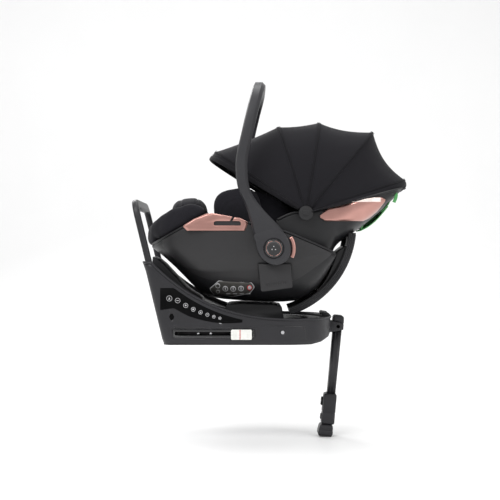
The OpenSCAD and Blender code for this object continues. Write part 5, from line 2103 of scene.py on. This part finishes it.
def wave(points, length, seed):
    """A smooth field of small lumps over some points, from -1 to 1."""
    rng = np.random.default_rng(seed)
    out = np.zeros(len(points))
    for _ in range(7):
        way = rng.normal(size=3)
        way /= np.linalg.norm(way)
        out += np.sin(points @ way * (2 * math.pi / length) * rng.uniform(0.7, 1.4) + rng.uniform(0, 6.28))
    return out / 3.5


def lumpy(piece, amount, length, seed):
    """Raises small soft lumps on a piece."""
    co = np.array([v.co for v in piece.data.vertices]) / MM
    normals = np.array([v.normal for v in piece.data.vertices])
    co += normals * (amount * wave(co, length, seed))[:, None]
    piece.data.vertices.foreach_set("co", (co * MM).astype(np.float32).ravel())
    piece.data.update()
    return piece


LINER = [[[x, w - 7] for x, w in LOWER[0]], LOWER[1], [[x, k + 7] for x, k in LOWER[2]]]
BACK_LINER = [[[x, w - 7] for x, w in BACK[0]], BACK[1], [[x, k + 11] for x, k in BACK[2]]]
ROLL_HALF = 15.5
ROLL_CREST = [[-325, 296], [-305, 318], [-270, 345], [-240, 361], [-200, 371], [-170, 367], [-140, 350]]


def padded_bucket(name, form, xs, wall, seams_at, ribs_at, puff=2.0):
    """A quilted lining inside a bucket form: its outer face lies on the shell, its inner face is sewn in panels."""
    m = 88
    outer, inner = even_bucket(form, xs, 0, m), even_bucket(form, xs, wall, m)
    t = np.linspace(0, 1, m + 1)
    # panels: soft between the seams, pinched on them
    pinch = np.zeros((len(xs), m + 1))
    for s in seams_at:
        pinch = np.maximum(pinch, np.exp(-(((t[None, :] - s) * (m / 2.0)) ** 2) / 1.6))
    for x0 in ribs_at:
        pinch = np.maximum(pinch, np.exp(-(((np.asarray(xs)[:, None] - x0) / 3.4) ** 2)))
    lift = inner - outer
    lift /= np.maximum(np.linalg.norm(lift, axis=2, keepdims=True), 0.1)
    inner = inner + lift * (puff * (1 - pinch) - 3.0 * pinch)[..., None]
    # the rim rolls over from the inner face to the outer
    rolled = []
    for row in np.concatenate([inner, outer[:, ::-1]], axis=1):
        left = (row[m] + row[m + 1]) / 2 + np.array([0, 0, 3.5])
        right = (row[-1] + row[0]) / 2 + np.array([0, 0, 3.5])
        rolled.append(np.vstack([row[: m + 1], left, row[m + 1 :], right]))
    return body_of_rings(name, rolled)


def seam_on_bucket(form, x_line, wall, share, out=0.6):
    """A sewn line along a lining's inner face, at a share of the way across its section."""
    pts = []
    for x in x_line:
        ring = even_bucket(form, [x], wall, 88)[0]
        k = share * 88
        i = int(min(87, math.floor(k)))
        p = ring[i] + (ring[i + 1] - ring[i]) * (k - i)
        c = np.array([x, 0, float(through(form[1], x)) + 40])
        pts.append(p + (c - p) / np.linalg.norm(c - p) * out)
    return pts


class CARSEAT_OT_seat_soft(bpy.types.Operator):
    """Makes the seat's lining with its padded foot roll, the leg cushion and the infant insert"""

    bl_idname = "carseat.seat_soft"
    bl_label = "Seat lining and cushions"

    def execute(self, context):
        xs = np.linspace(-292, 12, 90)
        liner = padded_bucket("Carrier_Liner", LINER, xs, 12, (0.16, 0.36, 0.64, 0.84), (-230, -150, -70))
        dressed(liner, "carrier", "cover", ["seat_liner"])
        lines = [
            seam_on_bucket(LINER, np.linspace(-286, 6, 60), 12, s, -1.6) for s in (0.17, 0.35, 0.65, 0.83)
        ]
        sewn("Carrier_Liner_Stitches", lines, 2, "carrier")

        # the padded roll round the foot end
        path, tall = [], []
        for a in np.radians(np.linspace(4, 176, 150)):
            c, s = math.cos(a), math.sin(a)
            cx = -140 - 168 * abs(s) ** 0.8
            y = -168 * math.copysign(abs(c) ** 0.8, c)
            foot = float(through(LOWER[1], max(cx, -276))) + 3 - 20 * ease((abs(s) - 0.86) / 0.1)
            crest = max(float(through(ROLL_CREST, cx)), foot + 10)
            path.append((cx, y, (crest + foot) / 2))
            tall.append((crest - foot) / 2)
        # the height takes part in the spacing, so that the rings follow the crest
        even_path = even(np.hstack([np.array(path), np.array(tall)[:, None]]), 190)
        path, tall = even_path[:, :3], even_path[:, 3]
        ends = np.minimum(1, np.minimum(np.arange(190), 189 - np.arange(190)) / 9.0)
        ends = np.sqrt(np.maximum(0.02, 1 - (1 - ends) ** 2))
        pleats = 1 - 0.05 * np.abs(np.sin(np.arange(190) * math.pi / 19)) ** 8
        flat = np.gradient(path, axis=0)
        flat[:, 2] = 0
        flat /= np.linalg.norm(flat, axis=1, keepdims=True)
        side = np.stack([flat[:, 1], -flat[:, 0], np.zeros(190)], 1)
        b = np.linspace(0, 2 * math.pi, 41)[:-1]
        rings = []
        for p, sd, h, e, k in zip(path, side, tall, ends, pleats):
            u = spow(np.cos(b), 0.85) * ROLL_HALF * k * e
            v = spow(np.sin(b), 0.85) * h * (0.35 + 0.65 * e)
            rings.append(p + sd * u[:, None] + np.array([0, 0, 1.0]) * v[:, None])
        roll = body_of_rings("Foot_Roll", rings)
        lumpy(roll, 0.9, 46, 5)
        roll = subdivided(roll, 1)
        dressed(roll, "carrier", "cushion")
        crest = [
            p + np.array([0, 0, h + 0.2]) + sd * 2 for p, h, sd in zip(path[6:-6], tall[6:-6], side[6:-6])
        ]
        piping = sweep("Foot_Roll_Piping", smooth_line(crest, 180), circle_of(1.9, 8), side=(0, 0, 1))
        dressed(piping, "carrier", "piping")

        cushion = pillow("Leg_Cushion", (100, 244, 86), (-207, 0, 350), math.radians(-6), crown=0.86)
        puffed(cushion, 5.0)
        top = np.array([v.co for v in cushion.data.vertices]) / MM
        channels = []
        for dx in (-24, 24):
            line = []
            for y in np.linspace(-108, 108, 40):
                near = top[(np.abs(top[:, 0] + 207 - dx) < 5) & (np.abs(top[:, 1] - y) < 5)]
                line.append((-207 + dx, y, near[:, 2].max() if len(near) else 380))
            channels.append(smooth_line(line, 60))
        channelled(cushion, channels, 3.2, 4.5)
        dressed(cushion, "carrier", "cushion", ["leg_cushion"])
        sewn(
            "Leg_Cushion_Stitches", [[p - np.array([0, 0, 2.6]) for p in line] for line in channels], 4,
            "carrier"
        )

        halves = [pillow("half", (134, 40, 130), (-72, s * 132, 350), math.radians(-9), 0.9) for s in (-1, 1)]
        insert = joined("Infant_Insert", halves)
        puffed(insert, 4.0)
        dressed(insert, "carrier", "cushion", ["infant_insert"])
        return {"FINISHED"}


class CARSEAT_OT_harness(bpy.types.Operator):
    """Makes the crotch strap, buckle, adjuster, shoulder straps and their pads"""

    bl_idname = "carseat.harness"
    bl_label = "Harness"

    def execute(self, context):
        foot = float(through(LINER[2], -112)) + 14.6
        strap = ribbon(
            "Crotch_Strap", np.array([(-111, 0, foot), (-108, 0, foot + 28), (-102, 0, 188), (-97, 0, 206)]),
            38, 2.4
        )
        dressed(strap, "carrier", "webbing", ["crotch_strap"])
        shell = filleted(
            [(-31, 205), (31, 205), (31, 240), (22, 267), (-22, 267), (-31, 240)], [10, 10, 8, 7, 7, 8], 5
        )
        box = plate("Harness_Buckle", shell, -108, -88, plane="yz", edge=3.5, steps=4)
        well = plate("cutter", filleted(rect(-15, 15, 225, 253), 3, 3), -96, -80, plane="yz")
        slots = [
            plate("cutter", filleted(rect(y - 8, y + 8, 258, 272), 1, 2), -101, -97, plane="yz")
            for y in (-13, 13)
        ]
        cut(box, well, *slots)
        dressed(box, "carrier", "gloss", ["harness_buckle"])
        push = plate(
            "Buckle_Button", filleted(rect(-14.3, 14.3, 225.7, 252.3), 2.8, 3), -92.5, -85.6, plane="yz",
            edge=1.2, steps=3
        )
        dressed(push, "buckle_button", "red", ["buckle_button"])
        finish_node("adjuster_button", "socket")
        # shoulder straps: from the slots in the back's lining down to the buckle's tongues
        for s, tag in ((-1, "Right"), (1, "Left")):
            path = smooth_line(
                [
                    (206, s * 46, 316), (196, s * 46, 306), (178, s * 45, 290), (150, s * 44.5, 266),
                    (118, s * 44, 243), (86, s * 43, 218), (66, s * 42, 204)
                ],
                60
            )
            web = ribbon("Shoulder_Strap_" + tag, path, 25, 1.8)
            dressed(web, "back", "webbing")
        lean = math.radians(38)
        pads = joined(
            "Shoulder_Pads",
            [pillow("pad", (146, 50, 13), (112, s * 44, 226), -lean, 0.95, 0.35) for s in (-1, 1)]
        )
        puffed(pads, 2.5, voxel=4.0)
        dressed(pads, "back", "cushion", ["shoulder_pads"])
        c, n = math.cos(lean), math.sin(lean)
        lines = [
            [(112 + c * k - n * 8.4, s * 44 + off, 226 + n * k + c * 8.4) for k in np.linspace(-62, 62, 30)]
            for s in (-1, 1) for off in (-19, 19)
        ]
        sewn("Shoulder_Pad_Stitches", lines, 6, "back")
        return {"FINISHED"}


class CARSEAT_OT_back_soft(bpy.types.Operator):
    """Makes the back's quilted lining and the winged headrest"""

    bl_idname = "carseat.back_soft"
    bl_label = "Back lining and headrest"

    def execute(self, context):
        xs = np.linspace(46, 352, 90)
        lining = padded_bucket("Back_Cushion", BACK_LINER, xs, 12, (0.2, 0.38, 0.62, 0.8), (110, 190, 270))
        dressed(lining, "back", "cover", ["back_cushion"])
        lines = [
            seam_on_bucket(BACK_LINER, np.linspace(52, 346, 60), 12, s, -1.6)
            for s in (0.21, 0.37, 0.63, 0.79)
        ]
        sewn("Back_Cushion_Stitches", lines, 7, "back")

        # side bolsters that close the lining's front under the canopy
        pads = []
        edge = smooth_line(
            [
                (-58, 396), (-34, 409), (4, 404), (36, 386), (62, 362), (76, 346), (74, 322), (46, 306),
                (6, 316), (-36, 336), (-60, 366)
            ],
            72, closed=True
        )
        core = np.array([6.0, 356.0])
        for s in (-1, 1):
            rings = []
            for share, y in (
                (0.5, 90), (0.84, 91), (0.96, 94), (1.0, 100.5), (0.96, 107), (0.84, 110), (0.5, 111)
            ):
                rings.append(
                    [
                        (core[0] + (x - core[0]) * share, s * y, core[1] + (z - core[1]) * share) for x,
                        z in edge
                    ]
                )
            pads.append(body_of_rings("pad", rings))
        bolsters = subdivided(joined("Side_Bolsters", pads), 1)
        dressed(bolsters, "back", "cushion")

        lean = math.radians(40)
        c, n = math.cos(lean), math.sin(lean)

        def placed(x, y, z):
            return (236 + c * x - n * z, y, 341 + n * x + c * z)

        parts = [pillow("pad", (114, 180, 22), (236, 0, 341), -lean, 0.92, 0.4)]
        for s in (-1, 1):
            parts.append(pillow("wing", (106, 29, 60), placed(-6, s * 98, 30), -lean, 0.9, 0.5))
        rest = joined("Headrest", parts)
        puffed(rest, 3.5, voxel=4.5)
        dressed(rest, "headrest", "cushion", ["headrest"])
        lines = [[placed(x, y, 12.2) for y in np.linspace(-66, 66, 40)] for x in (-38, 38)]
        sewn("Headrest_Stitches", lines, 8, "headrest")
        return {"FINISHED"}


# ---------------------------------------------------------------- canopy
def on_bow(angle, reach, half, a, power=3.0):
    """A point on a canopy's fold line: a goes from the right rivet over to the left."""
    r = reach * abs(math.sin(a)) ** (2 / power)
    t = math.radians(angle)
    y = -half * math.copysign(abs(math.cos(a)) ** (2 / power), math.cos(a))
    return np.array([CANOPY_HUB[0] + r * math.cos(t), y, CANOPY_HUB[1] + r * math.sin(t)])


def even_bow(angle, reach, half, count, start):
    """Evenly spaced points along a fold line, from start degrees above the rivets."""
    line = [on_bow(angle, reach, half, a) for a in np.radians(np.linspace(start, 180 - start, 400))]
    return even(line, count)


def gore_grid(first, last, sag, rows, cols, puckers, seed):
    """Cloth between two fold lines, which sinks between them and puckers a little along the seams."""
    p = even_bow(*first, HALF_C, cols, BOW_START)
    q = even_bow(*last, HALF_C, cols, BOW_START)
    rng = np.random.default_rng(seed)
    phase = rng.uniform(0, 6.28, 4)
    grid = []
    s = np.linspace(0, 1, cols)
    over = np.sin(np.pi * s)
    for t in np.linspace(0, 1, rows):
        row = p * (1 - t) + q * t
        v = row - HUB_MIDDLE
        v[:, 1] = 0
        length = np.maximum(np.linalg.norm(v, axis=1, keepdims=True), 1)
        dip = 4 * t * (1 - t)
        fall = dip * sag * over**0.7
        small = np.sin(s * 58 + phase[0] + 2.0 * t) * 0.5 + np.sin(s * 93 + phase[1] - 3.0 * t) * 0.3
        ripple = puckers * dip * (small + np.sin(s * 23 + phase[2]) * 0.6) * over**0.5
        row = row - v / length * (fall + ripple)[:, None]
        # the sides bow outwards less than the fold lines do
        row[:, 1] -= np.sign(row[:, 1]) * dip * sag * 0.25 * (1 - over) ** 2
        grid.append(row)
    return np.array(grid)


class CARSEAT_OT_canopy(bpy.types.Operator):
    """Makes the folding canopy: panels between its bows, seams, piping, hem, bows and rivets"""

    bl_idname = "carseat.canopy"
    bl_label = "Canopy"

    def execute(self, context):
        sizes = context.scene.carseat_canopy
        cols = 150
        rows = [26, 18, 24, 24]
        for k in range(4):
            first, last = BOWS[k], BOWS[k + 1]
            grid = gore_grid(
                first, last, GORE_SAG[k], rows[k], cols, puckers=(1.0, 0.7, 0.8, 1.0)[k], seed=11 + k
            )
            gore = sheet("Canopy_Panel_%d" % (k + 1), grid, inside=HUB_MIDDLE)
            walled(gore, 0.9)
            reach = 200 * math.sin(math.radians(first[0] - last[0]) / 2)
            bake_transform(gore)
            dressed(gore, None, "canopy", ["canopy_gore_%d" % (k + 1)])

        # visor: a stiff front panel with a turned hem
        grid = gore_grid(VISOR, BOWS[0], 0, 10, cols, puckers=0.2, seed=21)
        visor = sheet("Canopy_Visor", grid, inside=HUB_MIDDLE)
        walled(visor, 1.6)
        dressed(visor, "bow_1", "canopy", ["canopy_visor"])
        line = even_bow(VISOR[0] - 0.6, VISOR[1] - 1.6, HALF_C - 1.2, 220, 1.2)
        hem = sweep("Canopy_Hem", line, round_box(6.4, 12.0, 3.0, 5), side=(-0.86, 0, 0.51))
        dressed(hem, "bow_1", "piping")

        # a sleeve of cloth over each bow, sewn on both sides
        for k in range(5):
            angle, reach = BOWS[k]
            body = BOW_BODY[k]
            path = even_bow(angle, reach + 0.9, HALF_C + 0.9, 220, 1.0)
            t = math.radians(angle)
            side = (-math.sin(t), 0, math.cos(t))
            section = filleted(
                [
                    (-3.4, -1.3), (-2.8, -0.3), (-1.1, 0.0), (0, 0.9), (1.1, 0.0), (2.8, -0.3), (3.4, -1.3),
                    (0, -1.2)
                ],
                0.4, 2
            )
            sleeve = sweep("Canopy_Sleeve_%d" % (k + 1), path, section, side=side)
            dressed(sleeve, body, "piping")
            inner = path[6:-6]
            sunk = inner - 0.4 * (inner - HUB_MIDDLE) / np.linalg.norm(
                inner - HUB_MIDDLE, axis=1, keepdims=True
            )
            lines = [sunk + np.array(side) * off for off in (-4.6, 4.6)]
            sewn("Canopy_Stitches_%d" % (k + 1), lines, 30 + k, body, sizes.stitch, 0.0028, 0.0009)
        # a skirt from the last fold line down over the back shell's rim, and a patch over each rivet
        top = even_bow(*BOWS[4], HALF_C, cols, BOW_START)
        low = even_bow(14.3, 290, HALF_C + 9.5, cols, BOW_START)
        share = np.linspace(0, 1, 14)[:, None, None]
        swell = 4.0 * np.sin(np.pi * share) * np.array([1.0, 0, 0]) * np.abs(
            np.sin(np.linspace(0, np.pi, cols))
        )[None, :, None] ** 3
        grid = top[None] * (1 - share) + low[None] * share + swell
        skirt = sheet("Canopy_Skirt", grid, inside=HUB_MIDDLE)
        walled(skirt, 1.2)
        dressed(skirt, "back", "canopy")
        edge = sweep("Canopy_Skirt_Piping", low[4:-4], circle_of(1.7, 10), side=(0, 0, 1))
        dressed(edge, "back", "piping")
        patches = []
        for s in (-1, 1):
            shape = np.array(CANOPY_HUB) + circle_of(19, 48)
            patches.append(slab("patch", shape, s, 169.4, 171.6, edge=0.9, steps=3))
            patches.append(
                slab("patch", np.array(CANOPY_HUB) + circle_of(8, 32), s, 171, 173.4, edge=1.1, steps=3)
            )
        dressed(joined("Canopy_Hub_Patches", patches), "back", "bow")

        hem_lines = [
            even_bow(VISOR[0] - inset * 0.19, VISOR[1] + 0.8, HALF_C + 0.8, 200, 4.0)
            for inset in (4.0, sizes.hem / MM)
        ]
        sewn("Canopy_Hem_Stitches", hem_lines, 40, "bow_1", sizes.stitch, 0.0028, 0.0009)
        for k in range(4):
            finish_node("canopy_bow_%d" % (k + 1), "bow")
        finish_node("canopy_rivets", "deck")
        return {"FINISHED"}


# ---------------------------------------------------------------- stage
class CARSEAT_OT_stage(bpy.types.Operator):
    """Makes the pale floor and backdrop, the soft lights and the camera"""

    bl_idname = "carseat.stage"
    bl_label = "Stage"

    def execute(self, context):
        scene = context.scene
        f = Finish("PaleFloor")
        grain = f.noise(f.place(), 3.0, 2.0, 0.5)
        f.surface(Base_Color=f.mix(grain, (0.90, 0.90, 0.90), (0.93, 0.93, 0.93)), Roughness=0.55)
        floor_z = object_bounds()[0][2] / MM - 0.6
        rows = [(y, floor_z) for y in np.linspace(-5200, 2300, 40)]
        rise = [
            (2300 + 1500 * math.sin(a), floor_z + 1500 * (1 - math.cos(a)))
            for a in np.linspace(0, math.pi / 2, 24)[1:]
        ]
        rows += rise + [(3800, z) for z in np.linspace(floor_z + 1500, 5200, 12)[1:]]
        grid = [[(x, a, b) for x in np.linspace(-6500, 6500, 12)] for a, b in rows]
        backdrop = sheet("Studio_Floor", grid, inside=(0, 0, 9000))
        backdrop.data.flip_normals()
        backdrop.data.materials.append(f.material)
        backdrop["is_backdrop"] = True

        world = bpy.data.worlds.new("Studio")
        world.use_nodes = True
        world.node_tree.nodes["Background"].inputs[0].default_value = (1.0, 1.0, 1.0, 1.0)
        world.node_tree.nodes["Background"].inputs[1].default_value = 0.70
        scene.world = world
        scene.view_settings.view_transform = "Standard"
        scene.view_settings.look = "None"

        def lamp(name, place, aim, size, power):
            light = bpy.data.lights.new(name, "AREA")
            light.shape = "RECTANGLE"
            light.size, light.size_y = size
            light.energy = power
            rig = bpy.data.objects.new(name, light)
            rig.location = place
            rig.rotation_euler = (Vector(aim) - Vector(place)).to_track_quat("-Z", "Y").to_euler()
            scene.collection.objects.link(rig)

        lamp("Key", (-1.5, -2.2, 2.6), (0, 0, 0.25), (1.8, 1.2), 62)
        lamp("Fill", (2.4, -2.6, 1.4), (0, 0, 0.25), (1.8, 1.8), 26)
        lamp("Top", (0.2, 0.3, 3.1), (0, 0, 0.3), (2.4, 1.6), 46)
        lamp("Rim", (-1.2, 2.2, 2.0), (0, 0, 0.4), (1.4, 1.0), 30)

        lens = bpy.data.cameras.new("Camera")
        lens.lens = 83
        lens.sensor_width = 36
        lens.clip_end = 60
        camera = bpy.data.objects.new("Camera", lens)
        camera.location = (-0.040, -3.220, 0.250)
        camera.rotation_euler = (math.radians(90), 0, 0)
        scene.collection.objects.link(camera)
        scene.camera = camera
        return {"FINISHED"}


class CARSEAT_PT_panel(bpy.types.Panel):
    """Lists the pieces and their sizes"""

    bl_idname = "CARSEAT_PT_panel"
    bl_label = "Infant car seat"
    bl_space_type = "VIEW_3D"
    bl_region_type = "UI"
    bl_category = "Car seat"

    def draw(self, context):
        for group in GROUPS:
            box = self.layout.box()
            box.label(text=group.title())
            held = getattr(context.scene, "carseat_" + group)
            for key in held.bl_rna.properties.keys():
                if key not in ("rna_type", "name"):
                    box.prop(held, key)
        for operator in OPERATORS:
            self.layout.operator(operator.bl_idname)


GROUPS = {
    "carrier": CARSEAT_PG_carrier, "handle": CARSEAT_PG_handle, "canopy": CARSEAT_PG_canopy,
    "base": CARSEAT_PG_base, "colours": CARSEAT_PG_colours
}
OPERATORS = (
    CARSEAT_OT_stage, CARSEAT_OT_base, CARSEAT_OT_base_inside, CARSEAT_OT_base_trim, CARSEAT_OT_leg,
    CARSEAT_OT_lower_shell, CARSEAT_OT_fairings, CARSEAT_OT_handle, CARSEAT_OT_back, CARSEAT_OT_seat_soft,
    CARSEAT_OT_harness, CARSEAT_OT_back_soft, CARSEAT_OT_canopy
)


def register():
    for cls in (*GROUPS.values(), *OPERATORS, CARSEAT_PT_panel):
        bpy.utils.register_class(cls)
    for group, cls in GROUPS.items():
        setattr(bpy.types.Scene, "carseat_" + group, bpy.props.PointerProperty(type=cls))


def unregister():
    for group in GROUPS:
        delattr(bpy.types.Scene, "carseat_" + group)
    for cls in reversed((*GROUPS.values(), *OPERATORS, CARSEAT_PT_panel)):
        bpy.utils.unregister_class(cls)


def main():
    """Builds every piece in order."""
    register()
    make_finishes()
    for operator in OPERATORS:
        getattr(bpy.ops.carseat, operator.bl_idname.split(".")[1])()


if __name__ == "__main__":
    main()
